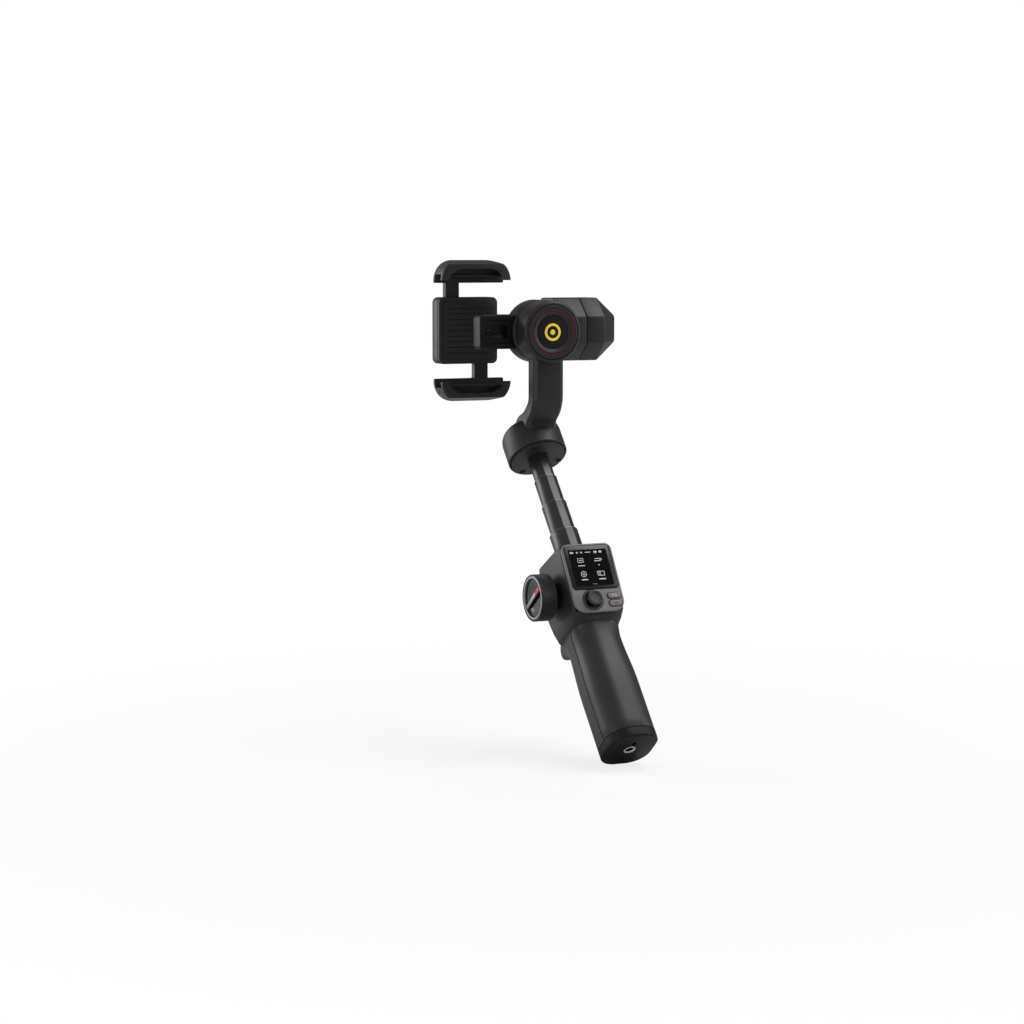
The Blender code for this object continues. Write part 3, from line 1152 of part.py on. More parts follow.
def build_jaw(side, sign):
    """Jaw with a hoop lip, a rear wall and a rack stem, and its rubber pad."""
    axis = axis_empty(side + "_jaw_axis", tilt_axis)
    frame = (axis, CLAMP[1])
    edge = PHONE_HALF
    top = edge + JAW_HEIGHT
    lip_back = PHONE_BACK - CHANNEL
    lip_front = lip_back - JAW_LIP
    wall_front = PHONE_BACK + CLEAR
    wall_back = wall_front + JAW_BACK
    low = edge - JAW_BACK_REACH

    def outline(corners):
        return [(CLAMP_X + x, sign * z) for x, z in filleted(corners)]

    body = outline([(-JAW_HALF_WIDTH, low, 0.001), (-JAW_HALF_WIDTH, edge + 0.35 * JAW_HEIGHT, 0.006),
                    (-JAW_TOP_HALF_WIDTH, top, 0.005), (JAW_TOP_HALF_WIDTH, top, 0.005),
                    (JAW_HALF_WIDTH, edge + 0.35 * JAW_HEIGHT, 0.006), (JAW_HALF_WIDTH, low, 0.001)])
    jaw = soften(prism(side + "_jaw", body, lip_front, wall_back, "Y", frame, "charcoal"), EDGE, angle=50)
    slant = [(lip_front - OVER, sign * (top - JAW_SLANT)), (lip_front, sign * (top - JAW_SLANT)),
             (wall_front, sign * top), (wall_front, sign * (top + OVER)),
             (lip_front - OVER, sign * (top + OVER))]
    aside = 2 * JAW_HALF_WIDTH
    cut(jaw, prism("cut_slant_" + side, slant, CLAMP_X - aside, CLAMP_X + aside, "X", frame))
    roof = edge + JAW_PAD + CLEAR
    far = JAW_HALF_WIDTH + OVER
    channel = sorted((sign * (low - OVER), sign * roof))
    cut(jaw, block("cut_channel_" + side, (CLAMP_X - far, lip_back, channel[0]),
                   (CLAMP_X + far, wall_front, channel[1]), frame))
    feet = sorted((sign * (low - OVER), sign * (edge - JAW_LIP_REACH)))
    cut(jaw, block("cut_feet_" + side, (CLAMP_X - far, lip_front - OVER, feet[0]),
                   (CLAMP_X + far, lip_back + OVER, feet[1]), frame))
    inside = JAW_HALF_WIDTH - JAW_FOOT
    arch = outline([(-inside - 0.003, low - OVER, 0), (-inside - 0.003, edge, 0.003),
                    (-inside + 0.004, top - JAW_BAND, 0.004), (inside - 0.004, top - JAW_BAND, 0.004),
                    (inside + 0.003, edge, 0.003), (inside + 0.003, low - OVER, 0)])
    cut(jaw, prism("cut_arch_" + side, arch, lip_front - OVER, lip_back + OVER, "Y", frame))
    stem_front = base_front() + CLEAR
    stem_back = stem_front + STEM_DEPTH
    stem = prism("add_stem_" + side, stem_outline(sign), stem_front, stem_back, "Y", frame)
    reach = rack_root() + STEM_WIDTH
    root_z = sorted((sign * (low + 0.0002), sign * (edge + JAW_HEIGHT / 2)))
    root_x = sorted((CLAMP_X - sign * (rack_root() - 0.001), CLAMP_X - sign * (reach + 0.001)))
    root = block("add_root_" + side, (root_x[0], wall_front + JAW_BACK / 2, root_z[0]),
                 (root_x[1], stem_back, root_z[1]), frame)
    fuse(stem, root)
    fuse(jaw, stem)
    inset = 0.004
    pad_z = sorted((sign * edge, sign * (edge + JAW_PAD)))
    soften(block(side + "_pad", (CLAMP_X - JAW_HALF_WIDTH + inset, lip_back + CLEAR, pad_z[0]),
                 (CLAMP_X + JAW_HALF_WIDTH - inset, wall_front - CLEAR, pad_z[1]), frame, "rubber"), EDGE / 2)


def main():
    build_handle()
    build_panel()
    build_trigger()
    build_wheel()
    build_rod()
    build_pan()
    build_swing_arm()
    build_roll()
    build_roll_tilt_arm()
    build_tilt_motor()
    build_clamp()
    build_jaw("upper", 1)
    build_jaw("lower", -1)


main()
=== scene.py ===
"""Dressed model of a handheld phone gimbal, laid out as a Blender add-on.

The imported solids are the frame. Each operator models one piece, or one group of like pieces, over
them, and the last one sets the stage. Sizes are in metres, +Z is up.
"""
import math

import bmesh
import bpy
from bpy.props import FloatProperty, FloatVectorProperty, IntProperty, PointerProperty
from mathutils import Matrix, Vector


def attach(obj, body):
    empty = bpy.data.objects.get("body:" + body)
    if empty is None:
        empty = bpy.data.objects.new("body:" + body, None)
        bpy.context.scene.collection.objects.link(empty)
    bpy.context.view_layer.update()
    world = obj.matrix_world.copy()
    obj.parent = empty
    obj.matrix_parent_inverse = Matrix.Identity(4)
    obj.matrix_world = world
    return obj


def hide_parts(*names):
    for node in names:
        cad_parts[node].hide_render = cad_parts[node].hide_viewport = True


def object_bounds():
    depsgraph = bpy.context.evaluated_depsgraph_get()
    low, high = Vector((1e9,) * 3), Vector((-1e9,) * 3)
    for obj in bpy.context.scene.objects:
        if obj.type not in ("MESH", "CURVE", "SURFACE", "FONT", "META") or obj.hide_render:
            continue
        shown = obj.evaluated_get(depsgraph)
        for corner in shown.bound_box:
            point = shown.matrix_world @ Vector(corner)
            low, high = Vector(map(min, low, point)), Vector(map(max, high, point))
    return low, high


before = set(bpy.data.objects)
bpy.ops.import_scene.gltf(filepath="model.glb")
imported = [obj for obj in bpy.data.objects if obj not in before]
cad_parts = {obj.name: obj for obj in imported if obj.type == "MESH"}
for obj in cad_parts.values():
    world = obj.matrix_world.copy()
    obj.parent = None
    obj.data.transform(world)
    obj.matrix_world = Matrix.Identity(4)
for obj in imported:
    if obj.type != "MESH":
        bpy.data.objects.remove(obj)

bl_info = {
    "name": "Phone Gimbal Dresser",
    "version": (1, 0, 0),
    "blender": (4, 5, 0),
    "location": "View3D > Sidebar > Gimbal",
    "description": "Models the visible pieces of a handheld phone gimbal over its solids",
    "category": "Object",
}

CLEAR = 0.0003  # gap between pieces
PAST = 0.004  # how far a cutter runs past the face that it opens
WELD = 0.000002  # points nearer than this become one
SHAFT_BORE = 0.0033
BEARING_BORE = 0.0053
RING_BORE = 0.0173  # room round the magnets of the pan and roll motors
PAD, PLATE = 0.0009, 0.0024  # thickness of the clamp's front pad and front plate
CAD_LOW, CAD_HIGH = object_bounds()

# A turned shape's Z laid along X or Y
ALONG_X = Matrix.Rotation(math.pi / 2, 4, "Y")
ALONG_Y = Matrix.Rotation(-math.pi / 2, 4, "X")
# A slab's outline (a, b) and height c turned to run along X as (c, a, b), or along Y as (a, c, b)
TO_X = Matrix(((0, 0, 1, 0), (1, 0, 0, 0), (0, 1, 0, 0), (0, 0, 0, 1)))
TO_Y = Matrix(((1, 0, 0, 0), (0, 0, 1, 0), (0, 1, 0, 0), (0, 0, 0, 1)))


def shift(x, y, z):
    return Matrix.Translation((x, y, z))


def about_z(degrees):
    return Matrix.Rotation(math.radians(degrees), 4, "Z")


def size(label, default, text):
    """A length that a user may change."""
    return FloatProperty(name=label, description=text, default=default, precision=5, unit="LENGTH")


def turn(label, degrees, text):
    """An angle that a user may change."""
    return FloatProperty(name=label, description=text, default=math.radians(degrees), subtype="ANGLE")


def tint(label, default, text):
    """A colour that a user may change."""
    return FloatVectorProperty(name=label, description=text, default=default, subtype="COLOR", min=0.0, max=1.0)


def point(label, default, text):
    """A point that a user may change."""
    return FloatVectorProperty(name=label, description=text, default=default, subtype="XYZ")


class HandleSizes(bpy.types.PropertyGroup):
    """Sizes of the grip, the head and what sits on them."""
    lean: turn("Lean", 40.0, "Angle of the handle from the vertical")
    half_width: size("Grip half width", 0.0186, "Half the width of the grip")
    half_depth: size("Grip half depth", 0.0198, "Half the depth of the grip")
    corner: size("Grip corner", 0.0145, "Corner radius of the grip's section")
    waist: size("Waist", 0.0012, "How much slimmer the grip is below the head")
    grip_top: size("Grip top", 0.092, "Height of the front cover")
    cover_dip: size("Cover dip", 0.0025, "How far the cover's upper edge drops at the seam")
    seam: size("Seam", -0.003, "Parting plane between cover and shell")
    seam_gap: size("Seam gap", 0.0007, "Shadow gap between cover and shell")
    cap_height: size("End cap height", 0.007, "Height of the black end cap")
    cap_chamfer: size("End cap edge", 0.0014, "Radius of the end cap's lower edge")
    insert_radius: size("Insert radius", 0.0041, "Outer radius of the tripod insert")
    insert_bore: size("Insert bore", 0.003175, "Bore radius of the tripod insert")
    insert_length: size("Insert length", 0.0075, "Length of the tripod insert")
    pin_hole: size("Pin hole", 0.0079, "Locating hole ahead of the socket")
    head_half: size("Head half width", 0.0195, "Half the width of the head")
    head_back: size("Head back", 0.0222, "Reach of the head behind the grip axis")
    head_corner: size("Head corner", 0.007, "Rear corner radius of the head")
    trigger_half: size("Trigger half width", 0.0138, "Half the width of the trigger")
    trigger_length: size("Trigger length", 0.0145, "Length of the trigger below its pin")
    trigger_proud: size("Trigger proud", 0.0076, "How far the trigger stands out")
    trigger_depth: size("Trigger depth", 0.0030, "Depth of the trigger's pin under the skin")


class ControlSizes(bpy.types.PropertyGroup):
    """Sizes of the control panel, the joystick, the buttons and the focus wheel."""
    tilt: turn("Panel tilt", 8.9, "Angle of the panel from the handle's axis")
    overhang: size("Panel overhang", 0.0052, "Panel foot ahead of the grip")
    rise: size("Panel rise", 0.0035, "Panel foot above the cover")
    length: size("Panel length", 0.0516, "Height of the panel along its face")
    width: size("Panel width", 0.0386, "Width of the panel")
    thickness: size("Panel thickness", 0.0024, "Thickness of the panel")
    top_corner: size("Upper corner", 0.0050, "Corner radius at the top of the panel")
    foot_corner: size("Lower corner", 0.0088, "Corner radius at the foot of the panel")
    glass_width: size("Glass width", 0.0354, "Width of the display glass")
    glass_length: size("Glass length", 0.0332, "Height of the display glass")
    glass_top: size("Glass top", 0.0015, "Glass below the panel's upper edge")
    stick_x: size("Stick offset", -0.0046, "Stick to the left of the middle")
    stick_up: size("Stick height", 0.0090, "Stick above the panel foot")
    bezel_radius: size("Bezel radius", 0.0076, "Outer radius of the joystick bezel")
    bezel_bore: size("Bezel bore", 0.0060, "Bore of the joystick bezel")
    stick_radius: size("Stick radius", 0.0054, "Radius of the joystick cap")
    stick_rise: size("Stick rise", 0.0028, "Underside of the cap above the panel")
    stick_cap: size("Stick cap", 0.0026, "Height of the joystick cap")
    button_width: size("Button width", 0.0098, "Width of a pill button")
    button_height: size("Button height", 0.0040, "Height of a pill button")
    button_x: size("Button offset", 0.0120, "Buttons to the right of the middle")
    mode_up: size("Mode button", 0.0112, "Upper button above the panel foot")
    record_up: size("Record button", 0.0056, "Lower button above the panel foot")
    wheel_radius: size("Wheel radius", 0.0164, "Radius of the focus wheel")
    wheel_width: size("Wheel width", 0.0127, "Width of the focus wheel")
    wheel_rise: size("Wheel rise", 0.0275, "Wheel axis above the panel foot")
    wheel_y: size("Wheel depth", -0.003, "Wheel axis ahead of the grip axis")
    neck_radius: size("Neck radius", 0.0092, "Radius of the wheel's neck")
    neck_length: size("Neck length", 0.0040, "Length of the wheel's neck")
    trim_radius: size("Trim radius", 0.0154, "Radius of the silver ring")
    trim_width: size("Trim width", 0.0022, "Width of the silver ring")
    knurls: IntProperty(name="Knurls", description="Ribs round the focus wheel", default=72, min=12,
                        subtype="UNSIGNED")


class RodSizes(bpy.types.PropertyGroup):
    """Sizes of the telescopic rod and of the pan disc on its top."""
    offset: size("Rod offset", 0.009, "Rod axis ahead of the grip axis")
    outer: size("Outer tube", 0.01025, "Radius of the tube in the head")
    lower: size("Lower tube", 0.0090, "Radius of the lower tube")
    middle: size("Middle tube", 0.00825, "Radius of the middle tube")
    upper: size("Upper tube", 0.0075, "Radius of the upper tube")
    outer_shown: size("Outer shown", 0.0210, "Length of the outer tube that shows")
    lower_shown: size("Lower shown", 0.0245, "Length of the lower tube that shows")
    middle_shown: size("Middle shown", 0.0220, "Length of the middle tube that shows")
    upper_shown: size("Upper shown", 0.0200, "Length of the upper tube that shows")
    flat: size("Key flat", 0.0004, "Depth of the flat along the tubes")
    pan_radius: size("Pan radius", 0.0217, "Outer radius of the pan bell")
    pan_rim: size("Pan rim", 0.0011, "Wall of the pan bell at the disc")
    screw_circle: size("Screw circle", 0.0168, "Radius on which the disc's screws sit")
    disc_turn: turn("Disc turn", -28.8, "Turn of the disc's screws and vents about the rod")
    disc_proud: size("Disc proud", 0.0015, "How far the disc stands out of the bell")
    disc_gap: size("Disc gap", 0.0007, "Gap between the disc and the bell")


class ArmSizes(bpy.types.PropertyGroup):
    """Sizes of the swing arm, the roll drum, the tilt housing and the module."""
    setback: size("Pan setback", 0.0259, "Roll cap front to pan disc")
    roll_height: size("Roll height", 0.0906, "Roll axis above the pan disc")
    roll_radius: size("Roll radius", 0.0221, "Radius of the roll cup")
    roll_depth: size("Roll depth", 0.0178, "Depth of the roll cup")
    roll_rim: size("Roll rim", 0.0024, "Wall of the roll cup at the cap")
    roll_gap: size("Roll gap", 0.0007, "Running gap behind the roll cup")
    cap_depth: size("Cap depth", 0.0050, "Depth of the roll cap")
    accent: size("Accent radius", 0.0160, "Radius of the accent ring")
    arm_half: size("Arm half width", 0.0120, "Half the width of the arm")
    arm_front: size("Arm front", 0.0060, "Arm front behind the cap front")
    arm_thickness: size("Arm thickness", 0.0115, "Thickness of the arm")
    arm_bend: size("Arm bend", 0.046, "Straight length of the arm")
    drum_depth: size("Drum depth", 0.0168, "Depth of the roll drum")
    tilt_setback: size("Tilt setback", 0.066, "Tilt axis behind the cap front")
    tilt_left: size("Housing left", 0.0263, "Left end of the tilt housing")
    tilt_seam: size("Housing seam", 0.0478, "Seam of the tilt housing")
    apothem: size("Housing apothem", 0.0230, "Half the height of the tilt housing")
    barrel: size("Cap barrel", 0.0145, "Straight part of the tilt cap")
    taper: size("Cap taper", 0.0145, "Length of the tilt cap's facets")
    end_half: size("Cap end", 0.0103, "Half the width of the tilt cap's end")
    module_reach: size("Module reach", 0.0475, "Far end of the module")
    module_half: size("Module half height", 0.0122, "Half the height of the module")
    module_depth: size("Module depth", 0.012, "Depth of the module")
    lens_x: size("Lens", 0.0409, "Lens to the left of the roll axis")


class ClampSizes(bpy.types.PropertyGroup):
    """Sizes of the phone clamp."""
    middle: size("Clamp middle", -0.039, "Middle of the clamp")
    phone_half: size("Half opening", 0.0385, "Half the opening of the jaws")
    phone_back: size("Phone back", 0.0592, "Rear of the phone behind the cap front")
    channel: size("Channel", 0.0106, "Inner depth of the jaws")
    base_half: size("Base half width", 0.023, "Half the width of the base")
    base_high: size("Base half height", 0.024, "Half the height of the base")
    jaw_half: size("Jaw half width", 0.027, "Half the width of a jaw")
    jaw_top: size("Jaw top half", 0.0185, "Half the width of a jaw's top")
    jaw_height: size("Jaw height", 0.0122, "Height of a jaw above the phone")
    jaw_lip: size("Jaw lip", 0.0029, "Thickness of the front hoop")
    jaw_back: size("Jaw back", 0.0031, "Thickness of the rear wall")
    jaw_band: size("Jaw band", 0.0062, "Height of the hoop band")


class Finishes(bpy.types.PropertyGroup):
    """Colours of the finishes."""
    charcoal: tint("Charcoal", (0.0165, 0.0165, 0.0170), "Moulded arms and housings")
    grip: tint("Grip", (0.0200, 0.0208, 0.0215), "Front cover of the grip")
    # Black is the own colour of the end cap, covers and module, and also painted shade on the seam sheet, the
    # insert's thread and the joystick's base and yoke
    black: tint("Black", (0.0040, 0.0040, 0.0042), "End cap, covers and sensor module")
    panel: tint("Panel", (0.150, 0.150, 0.152), "Control panel and buttons")
    glass: tint("Glass", (0.0025, 0.0025, 0.0030), "Display, lens and dish")
    surround: tint("Surround", (0.012, 0.0125, 0.0125), "Border of the display")
    rod: tint("Rod", (0.030, 0.030, 0.031), "Telescopic tubes")
    # Painted highlight: the lighter ring near the top of a tube stands in for the light its edge catches
    lip: tint("Lip", (0.095, 0.095, 0.097), "Bright edge of a tube")
    stick: tint("Stick", (0.042, 0.042, 0.043), "Joystick and its bezel")
    rubber: tint("Rubber", (0.012, 0.012, 0.012), "Pads of the clamp")
    steel: tint("Steel", (0.56, 0.56, 0.55), "Shafts, bearings and small metal parts")
    plated: tint("Plated", (0.80, 0.80, 0.79), "Ring of the tripod insert")
    silver: tint("Silver", (0.17, 0.17, 0.174), "Trim ring and pointer")
    accent: tint("Accent", (0.105, 0.012, 0.018), "Ring in the roll cap")
    signal: tint("Signal", (0.52, 0.02, 0.045), "Tip of the wheel's pointer")
    record: tint("Record", (0.22, 0.022, 0.042), "Mark on the record button")
    yellow: tint("Yellow", (0.85, 0.66, 0.03), "Mark in the roll cap")
    print_white: tint("Print", (0.50, 0.50, 0.50), "White marks")


class StageSettings(bpy.types.PropertyGroup):
    """Camera and floor."""
    eye: point("Camera", (-0.7854, -1.5157, 0.3356), "Place of the camera")
    aim: point("Aim", (-0.0157, 0.1561, 0.1480), "Point that the camera looks at")
    lens: FloatProperty(name="Lens", description="Focal length", default=90.0, min=10.0, unit="CAMERA")
    floor: tint("Floor", (0.75, 0.75, 0.75), "Floor and backdrop")


def sizes(*names):
    """The scene's groups of sizes with these names."""
    groups = [getattr(bpy.context.scene, "gimbal_" + name) for name in names]
    return groups if len(groups) > 1 else groups[0]


def handle_place():
    """Frame of the handle: its Z runs up the grip."""
    return Matrix.Rotation(-sizes("handle").lean, 4, "X")


def panel_foot():
    """Depth and height of the panel's foot in the handle frame."""
    handle, controls = sizes("handle", "controls")
    return -(handle.half_depth + controls.overhang), handle.grip_top + controls.rise


def panel_place(x=0.0, up=0.0):
    """Frame on the panel's face: X to the right, Y up the panel, Z out of it."""
    lean = Matrix.Rotation(math.pi / 2 + sizes("controls").tilt, 4, "X")
    return handle_place() @ shift(0, *panel_foot()) @ lean @ shift(x, up, 0)


def wheel_place():
    """Frame of the focus wheel: its Z runs out of the head's left side."""
    handle, controls = sizes("handle", "controls")
    height = panel_foot()[1] + controls.wheel_rise
    outward = Matrix.Rotation(-math.pi / 2, 4, "Y")
    return handle_place() @ shift(-handle.head_half, controls.wheel_y, height) @ outward


def head_top():
    """Height at which the rod leaves the head."""
    controls = sizes("controls")
    depth, height = panel_foot()
    top_depth = depth - controls.length * math.sin(controls.tilt)
    top_height = height + controls.length * math.cos(controls.tilt)
    return top_height + (-sizes("rod").offset - top_depth) * math.tan(controls.tilt)


def rod_place():
    return handle_place() @ shift(0, -sizes("rod").offset, 0)


def pan_place():
    """Frame of the pan disc, on the top of the rod."""
    rod = sizes("rod")
    shown = rod.outer_shown + rod.lower_shown + rod.middle_shown + rod.upper_shown
    return rod_place() @ shift(0, 0, head_top() + shown)


def roll_place():
    """Level frame with its origin at the front of the roll cap."""
    arm = sizes("arm")
    level = Matrix.Rotation(sizes("handle").lean, 4, "X")
    return pan_place() @ level @ shift(0, -arm.setback, arm.roll_height)


def tilt_axis():
    """Turns a Z axis to the tilt axis, in the roll frame."""
    return shift(0, sizes("arm").tilt_setback, 0) @ ALONG_X


def add_node(tree, kind, **values):
    """A new node. An underscore in the name of an input stands for a space."""
    node = tree.nodes.new(kind)
    for key, value in values.items():
        entry = key.replace("_", " ")
        if entry in node.inputs:
            node.inputs[entry].default_value = value
        else:
            setattr(node, key, value)
    return node


def wire(tree, *links):
    """Links, each given as a node, its output, a second node and its input."""
    for start, output, end, entry in links:
        tree.links.new(start.outputs[output], end.inputs[entry])


def moulded(name, colour, rough, grain=2600.0, depth=0.00004, spread=0.12, metallic=0.0, sheen=0.25,
            brush=None):
    """A finish with a slow drift in colour and fine grain, drawn out along the brush axis if there is one."""
    material = bpy.data.materials.new(name)
    material.use_nodes = True
    tree = material.node_tree
    shader = tree.nodes["Principled BSDF"]
    shader.inputs["Metallic"].default_value = metallic
    shader.inputs["Specular IOR Level"].default_value = sheen
    where = add_node(tree, "ShaderNodeTexCoord")
    drift = add_node(tree, "ShaderNodeTexNoise", Scale=38.0, Detail=3.0, Roughness=0.6)
    ramp = add_node(tree, "ShaderNodeValToRGB")
    for stop, position, share in zip(ramp.color_ramp.elements, (0.30, 0.72), (1 - spread, 1 + spread)):
        stop.position = position
        stop.color = (*[min(1, c * share) for c in colour], 1)
    fine = add_node(tree, "ShaderNodeTexNoise", Scale=grain, Detail=2.0, Roughness=0.55)
    gloss = add_node(tree, "ShaderNodeMapRange", To_Min=max(0.02, rough - 0.06), To_Max=min(1.0, rough + 0.06))
    bump = add_node(tree, "ShaderNodeBump", Strength=0.35, Distance=depth)
    wire(tree, (where, "Object", drift, "Vector"), (drift, "Fac", ramp, "Fac"),
         (ramp, "Color", shader, "Base Color"), (where, "Object", fine, "Vector"),
         (fine, "Fac", gloss, "Value"), (gloss, "Result", shader, "Roughness"),
         (fine, "Fac", bump, "Height"), (bump, "Normal", shader, "Normal"))
    if brush is not None:
        stretch = [1 / 60 if axis == brush else 1.0 for axis in range(3)]
        lay = add_node(tree, "ShaderNodeMapping", Scale=stretch, Rotation=(sizes("handle").lean, 0, 0))
        wire(tree, (where, "Object", lay, "Vector"), (lay, "Vector", fine, "Vector"))
    return material


def brushed(name, colour, rough, axis, metallic=1.0):
    """Metal with fine lines along one axis."""
    return moulded(name, colour, rough, 900.0, 0.00002, 0.10, metallic, brush=axis)


def wound(name, colour):
    """Copper winding: fine bands round the coil."""
    material = moulded(name, colour, 0.38, metallic=1.0)
    tree = material.node_tree
    bands = add_node(tree, "ShaderNodeTexWave", Scale=900.0, Distortion=2.0)
    wire(tree, (tree.nodes["Texture Coordinate"], "Object", bands, "Vector"),
         (bands, "Fac", tree.nodes["Bump"], "Height"))
    return material


def board_print(name, colour):
    """Circuit board: green mask over a pattern of tracks."""
    material = moulded(name, colour, 0.35)
    tree = material.node_tree
    tracks = add_node(tree, "ShaderNodeTexBrick", Scale=420.0, Color1=(*colour, 1),
                      Color2=(*[c * 0.8 for c in colour], 1), Mortar=(0.06, 0.16, 0.07, 1))
    wire(tree, (tree.nodes["Texture Coordinate"], "Object", tracks, "Vector"),
         (tracks, "Color", tree.nodes["Principled BSDF"], "Base Color"))
    return material


MATERIALS = {}


def make_materials():
    """All finishes, made once from the colours."""
    tone = sizes("finishes")
    glass = {"grain": 420.0, "depth": 0.000004}
    MATERIALS.update({
        "charcoal": moulded("charcoal_moulding", tone.charcoal, 0.46),
        "grip": moulded("grip_satin", tone.grip, 0.42, grain=3200.0, depth=0.00003),
        # own black of some parts and painted shade on others
        "black": moulded("black_moulding", tone.black, 0.50, sheen=0.18),
        "panel": moulded("panel_satin", tone.panel, 0.40, grain=3600.0, depth=0.00002, spread=0.06),
        "glass": moulded("display_black_glass", tone.glass, 0.08, **glass, spread=0.25, sheen=0.3),
        "surround": moulded("display_surround", tone.surround, 0.24, **glass),
        "rod": brushed("rod_anodised", tone.rod, 0.32, 2, metallic=0.35),
        # painted highlight ring near the top of a tube
        "lip": brushed("rod_bright_edge", tone.lip, 0.32, 2, metallic=0.35),
        "stick": moulded("stick_satin", tone.stick, 0.50),
        "rubber": moulded("pad_rubber", tone.rubber, 0.80, grain=1500.0, depth=0.00008),
        "steel": brushed("turned_steel", tone.steel, 0.26, 2),
        "plated": moulded("insert_plating", tone.plated, 0.35, metallic=0.3, spread=0.04),
        "silver": brushed("satin_silver", tone.silver, 0.42, 0, metallic=0.85),
        "accent": moulded("accent_dark_red", tone.accent, 0.42),
        "signal": moulded("signal_red", tone.signal, 0.40, spread=0.05),
        "record": moulded("record_red", tone.record, 0.42, spread=0.05),
        "yellow": moulded("mark_yellow", tone.yellow, 0.42, spread=0.05),
        "print": moulded("white_print", tone.print_white, 0.45, spread=0.03),
        "copper": wound("copper_winding", (0.45, 0.17, 0.06)),
        "magnet": brushed("nickel_magnet", (0.16, 0.16, 0.17), 0.34, 0),
        "cell": moulded("cell_sleeve", (0.05, 0.12, 0.24), 0.38),
        "brass": brushed("cut_brass", (0.60, 0.42, 0.14), 0.30, 1),
        "board": board_print("green_board", (0.010, 0.060, 0.028)),
    })


def clean(bm):
    """Weld doubled points and turn all faces outward."""
    bmesh.ops.remove_doubles(bm, verts=bm.verts, dist=WELD)
    bmesh.ops.recalc_face_normals(bm, faces=bm.faces)
    return bm


def to_mesh(bm, name="work"):
    """The mesh of a bmesh, which is used up."""
    mesh = bpy.data.meshes.new(name)
    bm.to_mesh(mesh)
    bm.free()
    return mesh


def add_object(name, data):
    obj = bpy.data.objects.new(name, data)
    bpy.context.scene.collection.objects.link(obj)
    return obj


def finish_piece(name, bm, place, key, body, node=None, sharp=32):
    """Put a shaped bmesh into the scene as a piece that rides on a body and stands for its node."""
    bmesh.ops.transform(clean(bm), matrix=place, verts=bm.verts)
    mesh = to_mesh(bm, name)
    mesh.shade_smooth()
    mesh.set_sharp_from_angle(angle=math.radians(sharp))
    mesh.materials.append(MATERIALS[key])
    obj = add_object(name, mesh)
    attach(obj, body)
    if node:
        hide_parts(node)


def round_corners(bm, points, rows, segments):
    """Round the points whose rows hold a corner radius as their third number."""
    for point, row in zip(points, rows):
        if len(row) > 2 and row[2] > 0:
            bmesh.ops.bevel(bm, geom=[point], offset=row[2], offset_type="OFFSET", affect="VERTICES",
                            segments=segments, profile=0.5, material=-1)


def soften(bm, edges, width, segments=3):
    """Round edges off."""
    bmesh.ops.bevel(bm, geom=edges, offset=width, offset_type="OFFSET", affect="EDGES", segments=segments,
                    profile=0.5, material=-1, clamp_overlap=False)


def sharp_edges(bm, degrees):
    limit = math.radians(degrees)
    return [edge for edge in bm.edges if edge.is_manifold and edge.calc_face_angle(0) > limit]


def flat_edges(bm):
    return [edge for edge in bm.edges if abs(edge.verts[0].co.z - edge.verts[1].co.z) < 1e-7]


def spun(profile, steps=96):
    """Points of (radius, height) or (radius, height, corner radius) turned about Z."""
    bm = bmesh.new()
    points = [bm.verts.new((row[0], 0, row[1])) for row in profile]
    for pair in zip(points, points[1:]):
        bm.edges.new(pair)
    if min(row[0] for row in profile) > 0:
        bm.edges.new((points[-1], points[0]))
    round_corners(bm, points, profile, 5)
    bmesh.ops.spin(bm, geom=bm.verts[:] + bm.edges[:], cent=(0, 0, 0), axis=(0, 0, 1), angle=2 * math.pi,
                   steps=steps, use_merge=True)
    return clean(bm)


def turned(inner, outer, first, last, near=0.0, far=0.0, steps=96):
    """A ring, or a disc if inner is 0, between two heights; near and far are its outer corner radii."""
    return spun([(inner, first), (outer, first, near), (outer, last, far), (inner, last)], steps)


def pin(radius, low, high, steps=48):
    return turned(0, radius, high, low, steps=steps)


def extruded(bm, height):
    """Draw the faces of a flat bmesh up into a solid."""
    grown = bmesh.ops.extrude_face_region(bm, geom=bm.faces[:])
    top = [item for item in grown["geom"] if isinstance(item, bmesh.types.BMVert)]
    bmesh.ops.translate(bm, verts=top, vec=(0, 0, height))
    bmesh.ops.recalc_face_normals(bm, faces=bm.faces)
    return bm


def slab(corners, low, high, rim=0.0, steps=6):
    """An outline of (a, b) or (a, b, corner radius) points in X and Y from low to high, with a round rim."""
    bm = bmesh.new()
    points = [bm.verts.new((*row[:2], low)) for row in corners]
    bm.faces.new(points)
    round_corners(bm, points, corners, steps)
    extruded(bm, high - low)
    if rim > 0:
        soften(bm, flat_edges(bm), rim)
    return bm


def oblong(left, right, low, high, near=0.0, far=None):
    """Outline of a rectangle, with corner radius near at its low side and far at its high side."""
    far = near if far is None else far
    return [(left, low, near), (right, low, near), (right, high, far), (left, high, far)]


def pill(half, radius):
    """Outline of a bar with round ends."""
    return oblong(-half, half, -radius, radius, 0.98 * radius)


def cuboid(low, high, rim=0.0):
    """A box between two corners, with round edges."""
    low, high = Vector(low), Vector(high)
    bm = bmesh.new()
    bmesh.ops.create_cube(bm, size=1.0, matrix=Matrix.LocRotScale((high + low) / 2, None, high - low))
    if rim > 0:
        soften(bm, bm.edges[:], rim)
    return bm


def placed(bm, matrix):
    bmesh.ops.transform(bm, matrix=matrix, verts=bm.verts)
    bmesh.ops.recalc_face_normals(bm, faces=bm.faces)
    return bm


